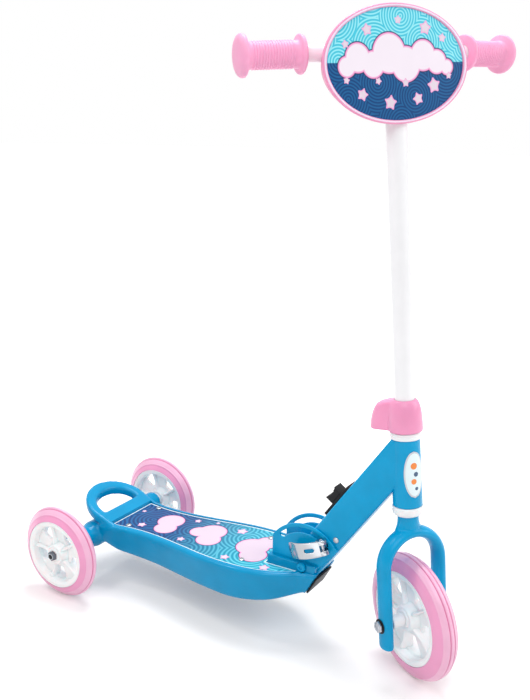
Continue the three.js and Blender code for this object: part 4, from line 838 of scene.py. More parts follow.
class Assembly:
    """What the sub-assemblies share: placing a finished piece on its body."""

    body: str

    def place(self, name: str, shape: Draft | Mesh, at: Matrix, finish: Finish, nodes: Sequence[str] = (),
              sharp: float = 32.0, film: Callable[[Vector], Point] | None = None, body: str = "") -> Holder:
        """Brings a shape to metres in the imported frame, dresses it and sets it on a body.

        Args:
            name: The piece's name.
            shape: A draft or a mesh in millimetres.
            at: Where it goes.
            finish: Its finish.
            nodes: CAD nodes that it stands for.
            sharp: Angle in degrees from which an edge stays sharp.
            film: Gives a printed film's own coordinates for a point of the shape.
            body: The body that it rides on, where it isn't the sub-assembly's own.

        Returns:
            The finished piece.
        """
        mesh = shape.mesh(name) if isinstance(shape, Draft) else shape
        mesh.name = name
        spots = [film(v.co) for v in mesh.vertices] if film else []
        if film:
            layer = mesh.uv_layers.new(name="film")
            for loop in mesh.loops:
                layer.data[loop.index].uv = spots[loop.vertex_index]
        mesh.transform(Matrix.Diagonal((0.001, 0.001, 0.001, 1)) @ Matrix.Translation(SHIFT) @ at)
        if at.determinant() < 0:
            mesh.flip_normals()
        mesh.materials.clear()
        mesh.materials.append(finish.material())
        for face in mesh.polygons:
            face.use_smooth = True
            face.material_index = 0
        mesh.set_sharp_from_angle(angle=radians(sharp))
        piece = bpy.data.objects.new(name, mesh)
        bpy.context.scene.collection.objects.link(piece)
        body = body or self.body
        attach(piece, body)
        if nodes:
            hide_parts(*nodes)
        LOG.info("%s on %s, %d faces", name, body, len(mesh.polygons))
        return piece


@dataclass
class Wheel(Assembly):
    """A cast tyre on a rim with five open windows."""

    name: str
    body: str
    at: Matrix
    tyre_radius: float
    half_width: float
    rim_radius: float
    hub_radius: float
    hub_half: float
    shoulder: float
    crown: float
    spokes: int = 5
    groove_place: float = 2.6
    groove_half: float = 0.9
    groove_depth: float = 1.7
    ridge_share: float = 0.66
    ridge_half: float = 0.8
    ridge_height: float = 0.8
    bed: float = 2.5
    bed_side: float = 2.0
    lip: float = 0.3
    lip_side: float = 1.2
    # Width share and lift of the darker pink bands of painted shade laid in the two grooves.
    groove_shade_share: float = 0.8
    groove_shade_lift: float = 0.2
    # How far past the ridges the paler band of painted highlight reaches, as a share of the half width.
    tread_highlight_margin: float = 0.03
    window_round: float = 5.0
    window_edge: float = 7.6
    root_half: float = 7.5
    tip_half: float = 9.2
    web_half: float = 2.6
    spoke_dip: float = 2.5
    spoke_waist: float = 1.9
    spoke_flare: float = 1.6

    def tyre_profile(self) -> list[Point]:
        """Gives the tyre's section, with two grooves in the tread and a ridge on each shoulder."""
        w, ridge = self.half_width, self.ridge_share * self.half_width
        inner, outer = self.rim_radius - self.bed, self.rim_radius + self.lip
        places = {round(w * sin(pi * (i / 26 - 0.5)), 3) for i in range(27)}
        for middle, half in ((self.groove_place, self.groove_half), (ridge, self.ridge_half)):
            for side in (-1, 1):
                places |= {round(side * middle + half * k / 4, 3) for k in range(-4, 5)}
        points = [(inner, -w + self.bed_side), (outer, -w + self.lip_side)]
        for at in sorted(places):
            rise = max(0.0, 1 - (abs(at) / w) ** self.shoulder) ** (1 / self.crown)
            radius = outer + (self.tyre_radius - outer) * rise
            groove = abs(abs(at) - self.groove_place) / self.groove_half
            crest = abs(abs(at) - ridge) / self.ridge_half
            if groove < 1:
                radius -= self.groove_depth * sqrt(1 - groove ** 2)
            if crest < 1:
                radius += self.ridge_height * sqrt(1 - crest ** 2)
            points.append((radius, at))
        return [*points, (outer, w - self.lip_side), (inner, w - self.bed_side), (inner, -w + self.bed_side)]

    def band(self, start: float, end: float, lift: float = 0.1) -> list[Point]:
        """Gives the section of a thin band that lies on the tyre between two places across its width."""
        profile = self.tyre_profile()[:-1]
        over, under = [], []
        for before, (radius, at), after in zip(profile, profile[1:], profile[2:]):
            if start <= at <= end:
                rise, run = after[0] - before[0], after[1] - before[1]
                size = hypot(rise, run)
                over.append((radius + lift * run / size, at - lift * rise / size))
                under.append((radius - lift * run / size, at + lift * rise / size))
        return [*over, *reversed(under), over[0]]

    def window(self, middle: float) -> list[Point]:
        """Gives the outline of one rounded window of the web, between two spokes."""
        r, half = self.window_round, pi / self.spokes
        far, near = self.rim_radius - self.window_edge, self.hub_radius + self.window_edge
        lean_far = half - asin((self.tip_half + r) / (far - r))
        lean_near = half - asin((self.root_half + r) / (near + r))
        corners = ((far - r, lean_far, 0.0, half + pi / 2), (near + r, lean_near, half + pi / 2, pi),
                   (near + r, -lean_near, pi, 1.5 * pi - half), (far - r, -lean_far, 1.5 * pi - half, 2 * pi))
        points = arc(far, middle - lean_far, middle + lean_far)
        for place, (radius, lean, start, end) in enumerate(corners):
            x, y = polar(radius, middle + lean)
            start += lean if place in (0, 2) else 0
            end += lean if place in (1, 3) else 0
            points += arc(r, middle + start, middle + end, x, y, 0.3)[1:-1]
            if place == 1:
                points += arc(near, middle + lean_near, middle - lean_near)
        return points

    def spoke(self) -> Draft:
        """Gives one flared rib that stands on the web, from the hub to the ring."""
        rings = []
        far, near = self.rim_radius - 5.5, self.hub_radius - 2
        start, end = self.hub_half - 3, self.half_width - 4.5
        for i in range(9):
            t = i / 8
            y = near + (far - near) * t
            half = start + (end - start) * t - self.spoke_dip * sin(pi * t)
            wide = self.spoke_waist + self.spoke_flare * abs(2 * t - 1) ** 2.2
            rings.append([(half * copysign(abs(s) ** 0.7, s), y, wide * c) for c, s in oval(1, 1, 20)])
        return Draft().loft(rings)

    def build(self) -> None:
        """Makes the tyre, with darker pink bands of painted shade in its grooves and a paler pink band of
        painted highlight over its tread, and the rim.
        """
        self.place(f"{self.name}_tyre_skin", Draft().turned(self.tyre_profile(), 112), self.at, PINK_TYRE,
                   [f"{self.name}_tyre"], sharp=38)
        # Darker pink bands in the two grooves: painted shade where the grooves dip.
        lines = Draft()
        for side in (-1, 1):
            middle, half = side * self.groove_place, self.groove_half * self.groove_shade_share
            lines.turned(self.band(middle - half, middle + half, self.groove_shade_lift), 96)
        self.place(f"{self.name}_tyre_lines", lines, self.at, PINK_GROOVE_SHADE)
        # A paler pink band over the crown: painted highlight where the light falls on the tread.
        reach = self.half_width * (self.ridge_share + self.tread_highlight_margin)
        self.place(f"{self.name}_tyre_tread", Draft().turned(self.band(-reach, reach), 112), self.at,
                   PINK_TREAD_HIGHLIGHT, sharp=38)
        w, rim = self.half_width, self.rim_radius
        ring = [(rim - 6.8, -w + 3.4), (rim - 6.2, -w + 1.2), (rim - 4.8, -w + 0.3), (rim - 3, -w),
                (rim - 0.6, -w), (rim, -w + 0.5), (rim, -w + 1.6), (rim - 2.8, -w + 2)]
        ring += [(r, -x) for r, x in reversed(ring)] + [ring[0]]
        h, e = self.hub_radius, self.hub_half
        hub = [(0, -e), (h - 5, -e), (h - 4.4, -e + 0.4), (h - 4.4, -e + 1.4), (h - 3.4, -e + 1.8),
               (h - 2, -e + 1.2), (h - 0.8, -e + 1.3), (h, -e + 2.2), (h + 1.2, -5.5),
               (h + 3.4, -self.web_half)]
        hub += [(r, -x) for r, x in reversed(hub)]
        outline = arc(rim - 4.2, 0, 2 * pi, step=0.05)[:-1]
        windows = [self.window((k + 0.5) * 2 * pi / self.spokes) for k in range(self.spokes)]
        web = Draft().plate(outline, -self.web_half, self.web_half, 1.2, windows,
                            Matrix.Rotation(pi / 2, 4, "X") @ SIDEWAYS)
        ribs = Grower.round_axis(self.spoke(), self.spokes, FROSTED)
        whole = stack([Draft().turned(ring, 96), Draft().turned(hub, 56), web, ribs])
        self.place(f"{self.name}_rim_skin", whole, self.at, FROSTED, [f"{self.name}_rim"])


@dataclass
class Deck(Assembly):
    """The moulded deck with its carrying handle, film, screws and axle."""

    body: str = "deck"
    top_front: float = 90.9
    top_mark: float = 77.0
    slope: float = 0.0427
    nose: float = 50.0
    tail: float = 366.0
    depth: float = 42.0
    half_width: float = 57.5
    edge: float = 5.0
    foot: float = 7.0
    draft: float = 3.0
    rim: float = 1.2
    wall: float = 2.6
    cheek_half: float = 17.1
    collar_back: float = 127.0
    film_front: float = 86.0
    film_rear: float = 352.0
    film_border: float = 7.5
    handle_root: float = 338.0
    handle_middle: float = 374.0
    handle_reach: Point = (46.0, 41.0)
    handle_thick: float = 12.5
    hole_front: float = 369.0
    hole_reach: Point = (33.0, 32.0)
    rib_count: int = 7
    rib_start: float = 150.0
    rib_pitch: float = 32.0
    rib_half: float = 1.2
    rib_short: float = 3.5
    rib_depth: float = 20.0
    rib_top: float = 2.2
    rail_side: float = 22.0
    rail_ends: tuple[Point, Point] = ((132.0, 20.0), (362.0, 17.0))
    screws: tuple[Point, ...] = ((-30.5, 331.0), (30.5, 331.0), (-33.0, 155.0), (33.0, 155.0))
    widths: tuple[Point, ...] = ((0, 0.391), (0.038, 0.435), (0.092, 0.52), (0.127, 0.643), (0.199, 0.852),
                                 (0.282, 0.965), (0.373, 1), (0.478, 0.965), (0.601, 0.861), (0.728, 0.765),
                                 (0.845, 0.748), (0.946, 0.809), (1, 0.835))
    depths: tuple[Point, ...] = ((0, 0.6), (0.08, 0.62), (0.187, 0.86), (0.32, 0.993), (0.446, 0.976),
                                 (0.687, 0.936), (0.905, 0.845), (0.984, 0.66), (1, 0.585))

    def top(self, back: float) -> float:
        """Gives the height of the standing surface."""
        return self.top_front - self.slope * (back - self.top_mark)

    def half(self, back: float) -> float:
        """Gives the deck's half width."""
        return self.half_width * flowing(self.widths, (back - self.nose) / (self.tail - self.nose))

    def section(self, back: float, inset: float) -> list[Place]:
        """Gives the deck's section at a place, moved in by an inset."""
        width = self.half(back) - inset
        top = self.top(back) + self.rim - inset * 1.46
        bottom = self.top(back) - self.depth * flowing(self.depths,
                                                       (back - self.nose) / (self.tail - self.nose))
        bottom -= 3 if inset else 0
        foot = self.foot if not inset else 4
        side = [(x, z) for x, z in arc(foot, -pi / 2, 0, width - self.draft - foot, bottom + foot, 0.3)]
        side += arc(self.edge, 0, pi / 2, width - self.edge, top - self.edge, 0.25)
        return [(x, back, z) for x, z in side] + [(-x, back, z) for x, z in reversed(side)]

    def hull(self, inset: float) -> Draft:
        """Gives the deck's body, or the hollow inside it."""
        first = self.collar_back + 4 if inset else self.nose
        last = self.tail - inset
        count = 60
        return Draft().loft([self.section(first + (last - first) * i / count, inset)
                             for i in range(count + 1)])

    def handle_place(self, root: float = 346.0, slope: float = 0.38) -> Matrix:
        """Gives the shear that lays the handle on its slope."""
        lift = self.top(root) + self.rim - slope * root
        return Matrix(((1, 0, 0, 0), (0, 1, 0, 0), (0, slope, 1, lift), (0, 0, 0, 1)))

    def handle_outline(self, grow: float = 0.0) -> list[Point]:
        """Gives the outer line of the carrying handle."""
        root, (wide, long) = self.handle_root, self.handle_reach
        points = [(-self.half(root) + 1, root), (self.half(root) - 1, root)]
        return points + [((wide + grow) * cos(a), self.handle_middle + (long + grow) * sin(a))
                         for a in [pi * i / 40 for i in range(41)]]

    def handle_hole(self, grow: float = 0.0) -> list[Point]:
        """Gives the line of the hand hole, with rounded front corners."""
        wide, long = self.hole_reach
        return [((wide + grow) * cos(a), self.hole_front - grow + (long + 2 * grow) * max(0.0, sin(a)) ** 0.8)
                for a in [pi * i / 44 for i in range(45)]]

    def film_outline(self, inset: float) -> list[Point]:
        """Gives the outline of the film, with the notch for the collar."""
        count = 48
        right = []
        for i in range(count + 1):
            back = self.film_front + inset + (self.film_rear - self.film_front - 2 * inset) * i / count
            right.append((self.half(back) - self.film_border - inset, back))
        left = [(-x, y) for x, y in reversed(right)]
        notch, back = COLLAR_HALF + GAP + inset, self.collar_back + GAP + inset
        front = self.film_front + inset
        return [*right, *left, (-notch, front), (-notch, back), (notch, back), (notch, front)]

    def surface(self, height: float = 0.0) -> Matrix:
        """Gives the shear that lays a flat plate on the standing surface."""
        return Matrix(((1, 0, 0, 0), (0, 1, 0, 0), (0, -self.slope, 1, self.top(0) + height), (0, 0, 0, 1)))

    def shell(self) -> None:
        """Makes the deck, its handle and the axle housing as one moulding."""
        body = self.hull(0)
        body.plate(self.handle_outline(), -self.handle_thick, 0, 3.0, [self.handle_hole(-1.2)],
                   self.handle_place())
        housing = [(0, -82), (12.7, -82), (13.5, -81), (13.5, -54), (17, -44), (17, 44), (13.5, 54),
                   (13.5, 81), (12.7, 82), (0, 82)]
        axle = moved(0, REAR_BACK, REAR_RADIUS)
        body.turned(housing, 56, Axis.X, axle)
        low = self.top(self.tail) - self.depth * self.depths[-1][1]
        web = [(358, low), (378, 46.5), (393, 55), (393, 66), (380, 74), (360, 77)]
        body.slab(web, -44, 44, 2)
        skin = moulded(body, voxel=1.7, rounds=7)
        collar = [(61.5, 101), (NOSE_TOP[0], NOSE_CORNER), NOSE_TOP, NOSE_FOOT, (self.collar_back, 65),
                  (self.collar_back, self.top(self.collar_back)), (self.collar_back - 1.5, 99.6)]
        low_cut = NOSE_TOP[1] - NOSE_FOOT[1]
        run = (NOSE_FOOT[0] - NOSE_TOP[0]) / low_cut
        front = [(NOSE_TOP[0] - 40 * run, NOSE_TOP[1] + 40), (NOSE_FOOT[0] + 40 * run, 25),
                 (NOSE_FOOT[0] - 80, 25), (NOSE_TOP[0] - 80, NOSE_TOP[1] + 40)]
        pocket = [(20, 106), (20, 71.5), (CHEEK_REAR + GAP, 71.5), (CHEEK_REAR + GAP, 106)]
        cuts = [("DIFFERENCE", self.hull(self.wall)),
                ("UNION", Draft().slab(collar, -COLLAR_HALF, COLLAR_HALF, 0.9)),
                ("DIFFERENCE", Draft().slab(front, -60, 60, 0)),
                ("DIFFERENCE", Draft().slab(pocket, -self.cheek_half, self.cheek_half, 0)),
                ("DIFFERENCE", Draft().plate(self.film_outline(-0.3), -1.5, 5, 0, (), self.surface())),
                ("DIFFERENCE", Draft().turned([(0, -26), (6.4, -26), (6.4, -COLLAR_HALF + 1.2),
                                               (0, -COLLAR_HALF + 1.2)], 40, Axis.X,
                                               Matrix.Translation(PIVOT)))]
        self.place("deck_skin", carved(skin, cuts), STILL, BLUE, ["deck_shell"], sharp=38)

    def ribs(self) -> None:
        """Makes the ribs under the deck."""
        draft = Draft()
        for i in range(self.rib_count):
            back = self.rib_start + self.rib_pitch * i
            half = self.half(back) - self.wall - self.rib_short
            draft.box((-half, back - self.rib_half, self.top(back) - self.rib_depth),
                      (half, back + self.rib_half, self.top(back) - self.rib_top))
        (front, low), (rear, high) = self.rail_ends
        rail = [(front, self.top(front) - low), (rear, self.top(rear) - high), (rear, self.top(rear) - 2.4),
                (front, self.top(front) - 2.4)]
        for x in (-self.rail_side, self.rail_side):
            draft.slab(rail, x - self.rib_half, x + self.rib_half)
        self.place("deck_ribs", draft, STILL, BLUE)

    def film(self) -> None:
        """Makes the film, its white edge line and the stars on it."""
        self.place("deck_film", Draft().plate(self.film_outline(0), -1.2, 0, 0.15), self.surface(), DECK_FILM,
                   ["deck_print"], film=lambda p: (p[0] / 100, p[1] / 100))
        edge = Draft().plate(self.film_outline(0.8), -0.5, 0.08, 0, [self.film_outline(2.4)])
        self.place("deck_film_edge", edge, self.surface(), FILM_WHITE)
        spots = [(-38, 176, 0), (30, 196, 0), (-27, 250, 0), (26, 262, 0), (-20, 318, 0), (14, 342, 0),
                 (40, 138, 0), (-36, 122, 0), (34, 236, 0)]
        sizes = [0.9, 1.1, 0.8, 0.7, 0.9, 0.5, 0.8, 1.0, 0.45]
        add_stars(self, "deck", spots, sizes, 7.0, self.surface(0.1), 11)

    def fittings(self) -> None:
        """Makes the screws of the deck and its axle nuts, with a black disc of painted shade in each nut's
        hollow centre.
        """
        tops = [(x, y, self.top(y) + GAP) for x, y in self.screws]
        heads = Grower.scattered(screw_head(3.6, 1.7), tops, [1.0] * 4, pi, 5, STEEL)
        self.place("deck_screws", heads, STILL, STEEL,
                   ["deck_screw_1", "deck_screw_2", "deck_screw_3", "deck_screw_4"])
        end = REAR_SIDE + REAR_HUB_HALF
        for side, name in ((-1, "right"), (1, "left")):
            flip = Matrix.Scale(side, 4, (1, 0, 0))
            at = moved(0, REAR_BACK, REAR_RADIUS) @ flip
            nut = hex_nut(6.4, 4.7, end + GAP)
            self.place(f"rear_nut_skin_{name}", nut, at, DARK_STEEL, [f"rear_nut_{name}"])
            # A black disc in the nut's hollow centre: painted shade of the hollow, not a part of its own.
            hollow_shade = shifted([(0, 4.4), (3.2, 4.4), (3.2, 5.0), (2.6, 5.25), (0, 5.25)], end)
            self.place(f"rear_nut_well_{name}", Draft().turned(hollow_shade, 28), at, BLACK)

    def build(self) -> None:
        """Makes the whole deck."""
        self.shell()
        self.ribs()
        self.film()
        self.fittings()


def screw_head(radius: float, height: float) -> Draft:
    """Gives a domed screw head with a cross recess, standing on z = 0."""
    dome = [(0, 0), (radius, 0), (radius, height * 0.3)]
    dome += [(radius * cos(a), height * 0.3 + height * 0.7 * sin(a)) for a in (0.4, 0.8, 1.2)] + [(0, height)]
    draft = Draft().turned(dome, 28, Axis.Z)
    cross = Draft().box((-radius * 0.55, -0.4, height * 0.4), (radius * 0.55, 0.4, height + 1))
    other = Draft().box((-0.4, -radius * 0.55, height * 0.4), (0.4, radius * 0.55, height + 1))
    return Draft().take(carved(draft.mesh(), [("DIFFERENCE", cross), ("DIFFERENCE", other)]))


def hex_nut(across: float, height: float, start: float) -> Draft:
    """Gives a domed six-sided nut along X from a start, with a bore."""
    flats = [polar(across, pi / 3 * i) for i in range(6)]
    nut = Draft().plate(flats, start, start + height * 0.7, 0.3, (),
                        Matrix.Rotation(pi / 2, 4, "X") @ SIDEWAYS)
    r = across * 0.8
    cap = [(0, 0), (r, 0), (r, height * 0.75), (r * 0.8, height * 0.95), (r * 0.4, height),
           (r * 0.35, height * 0.8), (0, height * 0.8)]
    return nut.turned(shifted(cap, start), 32)


def star_outline(radius: float, waist: float = 0.56, rounds: int = 2) -> list[Point]:
    """Gives a plump star with five blunt points."""
    points = [polar(radius * (1.1 if i % 2 == 0 else waist), pi / 2 + pi / 5 * i) for i in range(10)]
    for _ in range(rounds):
        cut = []
        for (x0, y0), (x1, y1) in zip(points, points[1:] + points[:1]):
            cut += [(0.75 * x0 + 0.25 * x1, 0.75 * y0 + 0.25 * y1),
                    (0.25 * x0 + 0.75 * x1, 0.25 * y0 + 0.75 * y1)]
        points = cut
    return points


def add_stars(owner: Assembly, name: str, spots: Sequence[Place], sizes: Sequence[float], radius: float,
              at: Matrix, seed: int) -> None:
    """Sets white stars with a pink edge on a film.

    Args:
        owner: The sub-assembly that places them.
        name: First word of the pieces' names.
        spots: Where they go, in the film's plane.
        sizes: Size share of each.
        radius: Size of a whole star.
        at: Place of the film's plane.
        seed: Seed of their turns.
    """
    under = Draft().plate(star_outline(radius), 0, 0.12)
    over = Draft().plate(star_outline(radius * 0.76), 0.05, 0.2)
    owner.place(f"{name}_star_edges", Grower.scattered(under, spots, sizes, 0.4, seed, STAR_PINK), at,
                STAR_PINK)
    owner.place(f"{name}_stars", Grower.scattered(over, spots, sizes, 0.4, seed, STAR_WHITE), at, STAR_WHITE)


@dataclass
class FoldBracket(Assembly):
    """The steel channel with two slotted cheeks, its pivot bolt and the strip on the nose."""

    body: str = "deck"
    cheek_radius: float = 50.4
    inner: float = 14.4
    sheet: float = 2.4
    slot_half: float = 3.2
    swing: float = radians(83)
    floor: float = 74.2
    strip_face: float = 2.4
    strip_half: float = 19.0
    bolt_radius: float = 5.6

    def slot(self) -> list[Point]:
        """Gives the outline of the arc slot."""
        first, last = SKEWER_ANGLE - self.swing - 0.01, SKEWER_ANGLE + 0.01
        y, z = PIVOT.y, PIVOT.z
        cap = [polar(self.slot_half, last + pi * k / 8, *polar(SLOT_RADIUS, last, y, z)) for k in range(1, 8)]
        end = [polar(self.slot_half, first + pi * (1 + k / 8), *polar(SLOT_RADIUS, first, y, z))
               for k in range(1, 8)]
        return (arc(SLOT_RADIUS + self.slot_half, first, last, y, z) + cap
                + arc(SLOT_RADIUS - self.slot_half, last, first, y, z) + end)

    def cheek(self) -> list[Point]:
        """Gives the outline of a cheek."""
        start = acos((CHEEK_REAR - PIVOT.y) / self.cheek_radius)
        end = NECK_ANGLE + asin(NECK_LOWER / self.cheek_radius)
        return [(CHEEK_REAR, self.floor - self.sheet),
                *arc(self.cheek_radius, start, end, PIVOT.y, PIVOT.z, 0.06), (NOSE_TOP[0] + GAP, NOSE_CORNER),
                (NOSE_TOP[0] + GAP, NOSE_TOP[1]), (71.4, self.floor - self.sheet)]

    def build(self) -> None:
        """Makes the bracket, bolts and strip."""
        draft = Draft()
        for low in (-self.inner - self.sheet, self.inner):
            draft.slab(self.cheek(), low, low + self.sheet, 0.7, [self.slot()])
        draft.slab([(71, self.floor), (72.2, self.floor - self.sheet), (CHEEK_REAR, self.floor - self.sheet),
                    (CHEEK_REAR, self.floor)], -self.inner - 1, self.inner + 1, 0.4)
        self.place("fold_bracket_skin", draft, STILL, BLUE_PAINT, ["fold_bracket"])
        start, r = -COLLAR_HALF - GAP, self.bolt_radius
        dome = [(0, 0), (r, 0), (r, -1.4), (r * 0.92, -2.4), (r * 0.72, -3.1), (r * 0.5, -3.4),
                (r * 0.42, -3.3), (r * 0.38, -2), (0, -1.9)]
        draft = Draft().turned(shifted(dome, start), 40)
        draft.turned([(0, start), (4, start), (4, -start), (0, -start)], 32)
        self.place("pivot_bolt_skin", draft, Matrix.Translation(PIVOT), BLUE_PAINT, ["pivot_bolt"])
        nut = hex_nut(7.2, 3.4, COLLAR_HALF + GAP)
        self.place("pivot_nut_skin", nut, Matrix.Translation(PIVOT), STEEL, ["pivot_nut"])
        top, foot = Vector(NOSE_TOP), Vector(NOSE_FOOT)
        run = (foot - top).normalized()
        out = Vector((run.y, -run.x))
        strip = [top + out * GAP, foot + out * GAP, foot + out * self.strip_face, top + out * self.strip_face]
        self.place("nose_strip_skin",
                   Draft().slab([(p.x, p.y) for p in strip], -self.strip_half, self.strip_half, 0.5), STILL,
                   BLACK, ["nose_strip"])


@dataclass
class Neck(Assembly):
    """The boxed neck with the head tube, its bearing rings, the blank badge and the latch."""

    body: str = "neck"
    upper: float = 18.6
    half: float = 14.0
    edge: float = 3.0
    tube_low: float = 128.6
    tube_high: float = 202.7
    tube_radius: float = 15.9
    tube_taper: float = 0.7
    tube_bevel: float = 0.7
    badge_turn: float = radians(-37)
    badge_height: float = 166.6
    badge_half: Point = (11.6, 25.4)
    latch_start: float = 66.7
    latch_end: float = 113.2
    block_start: float = 82.3
    block_length: float = 17.5

    def on_neck(self, along: float, up: float) -> Point:
        """Gives a place along the neck, measured from the pivot."""
        c, s = cos(NECK_ANGLE), sin(NECK_ANGLE)
        return PIVOT.y + c * along + s * up, PIVOT.z + s * along - c * up

    def on_head(self, height: float) -> Point:
        """Gives a place on the steering axis."""
        return STEERING_BACK + sin(LEAN) * height, FRONT_HEIGHT + cos(LEAN) * height

    def meeting(self, start: Point, way: Point, other: Point, line: Point) -> Point:
        """Gives the crossing of two lines."""
        across = way[0] * line[1] - way[1] * line[0]
        t = ((other[0] - start[0]) * line[1] - (other[1] - start[1]) * line[0]) / across
        return start[0] + way[0] * t, start[1] + way[1] * t

    def frame_piece(self) -> None:
        """Makes the neck with its tube and a soft weld between them."""
        way = (cos(NECK_ANGLE), sin(NECK_ANGLE))
        up = (sin(LEAN), cos(LEAN))
        across = (cos(LEAN), -sin(LEAN))
        top = self.on_head(self.tube_high - GAP)
        corner = self.meeting(top, across, self.on_neck(0, self.upper), way)
        foot = self.meeting(self.on_neck(0, -NECK_LOWER), way, self.on_head(0), up)
        radius, rise = (self.upper + NECK_LOWER) / 2, (self.upper - NECK_LOWER) / 2
        y, z = self.on_neck(0, rise)
        outline = [top, corner, *arc(radius, NECK_ANGLE - pi / 2, NECK_ANGLE - 1.5 * pi, y, z), foot]
        body = Draft().slab(outline, -self.half, self.half, self.edge)
        wide, narrow, bevel = self.tube_radius, self.tube_radius - self.tube_taper, self.tube_bevel
        tube = [(0, self.tube_low), (wide - 0.6, self.tube_low), (wide, self.tube_low + bevel),
                (narrow, self.tube_high - bevel), (narrow - 0.6, self.tube_high), (0, self.tube_high)]
        body.turned(tube, 72, Axis.Z, HEAD)
        self.place("neck_skin", body, STILL, BLUE_PAINT, ["neck_frame"])

    def rings(self) -> None:
        """Makes the two white bearing rings."""
        lower = [(11.8, -10.1), (13.6, -10.1), (14.5, -9.6), (16.4, -7.6), (16.6, -6.8), (16.6, -0.9),
                 (15.9, 0), (11.8, 0), (11.8, -10.1)]
        upper = [(11.8, 0), (15.8, 0), (16.4, 0.7), (16.4, 3.2), (16.0, 3.6), (16.0, 4.0), (16.4, 4.4),
                 (16.4, 7.1), (15.4, 7.9), (11.8, 7.9), (11.8, 0)]
        for name, profile, height in (("lower", lower, self.tube_low - GAP),
                                      ("upper", upper, self.tube_high + GAP)):
            self.place(f"{name}_ring", Draft().turned(shifted(profile, height), 72, Axis.Z), HEAD, WHITE,
                       [f"{name}_cup"])

    def patch(self, name: str, half: Point, lift: float, finish: Finish, shift: Point = (0.0, 0.0),
              nodes: Sequence[str] = ()) -> None:
        """Lays an oval patch on the head tube.

        Args:
            name: The piece's name.
            half: Half its width and half its height.
            lift: How far its face stands off the tube.
            finish: Its finish.
            shift: Its middle, round the tube and up from the badge's own.
            nodes: CAD nodes that it stands for.
        """
        rows, cols = 28, 20
        points, faces = [], []
        for i in range(rows + 1):
            t = -1 + 2 * i / rows
            height = self.badge_height + shift[1] + half[1] * t
            wide = half[0] * sqrt(max(0.0, 1 - t * t))
            share = (height - self.tube_low) / (self.tube_high - self.tube_low)
            radius = self.tube_radius - self.tube_taper * share + GAP + lift
            for j in range(cols + 1):
                turn = self.badge_turn - pi / 2 + (shift[0] + wide * (-1 + 2 * j / cols)) / radius
                points.append((*polar(radius, turn), height))
        for i in range(rows):
            for j in range(cols):
                a = i * (cols + 1) + j
                faces.append((a, a + 1, a + cols + 2, a + cols + 1))
        self.place(name, eased(Draft().add(points, faces), 0.12, 0.55), HEAD, finish, nodes)

    def badge(self) -> None:
        """Makes the badge: a pale grey shield with a white field and a few plain dots."""
        wide, high = self.badge_half
        self.patch("head_badge_skin", (wide, high), 0.7, SILVER, nodes=["head_badge"])
        self.patch("head_badge_field", (wide - 1.6, high - 1.8), 0.85, FILM_WHITE)
        for number, (x, z, size, finish) in enumerate(((-0.6, 9.6, 3.6, FILM_ORANGE),
                                                       (1.6, 0.4, 2.6, FILM_NAVY),
                                                       (-1.0, -7.4, 3.0, FILM_ORANGE),
                                                       (2.0, -15.4, 1.9, FILM_NAVY))):
            self.patch(f"head_badge_dot_{number + 1}", (size, size), 0.95, finish, (x, z))

    def latch(self) -> None:
        """Makes the latch's base plate, its sliding catch with finger ribs, and the rivet."""
        low, high = self.upper + GAP, self.upper + 3.3
        base = [self.on_neck(self.latch_start, low), self.on_neck(self.latch_end, low),
                self.on_neck(self.latch_end, high), self.on_neck(self.latch_start, high)]
        self.place("latch_base_skin", Draft().slab(base, -10, 10, 0.6), STILL, BLACK, ["latch_base"])
        foot = high + GAP
        block = [self.on_neck(self.block_start + self.block_length, foot),
                 self.on_neck(self.block_start, foot)]
        for i in range(41):
            t = i / 40
            rib = 0.4 * cos(t * 2 * pi * 5)
            block.append(self.on_neck(self.block_start + self.block_length * t,
                                      foot + 10.2 - 2.2 * sin(pi * t) + rib - 0.4))
        catch = Draft().slab(block, -8, 8, 0.7)
        self.place("latch_catch", catch, STILL, BLACK, ["latch_slider"], body="latch")
        rivet = Draft()
        for side in (-1, 1):
            at = side * (self.half + GAP)
            rivet.turned([(0, at - side * 2), (3.4, at), (3.3, at + side * 0.5), (2.6, at + side * 1.1),
                          (0, at + side * 1.4)], 32, Axis.X, moved(0, 42.1, 138.4))
        self.place("neck_rivet_skin", rivet, STILL, STEEL, ["neck_rivet"])

    def build(self) -> None:
        """Makes the whole neck."""
        self.frame_piece()
        self.rings()
        self.badge()
        self.latch()


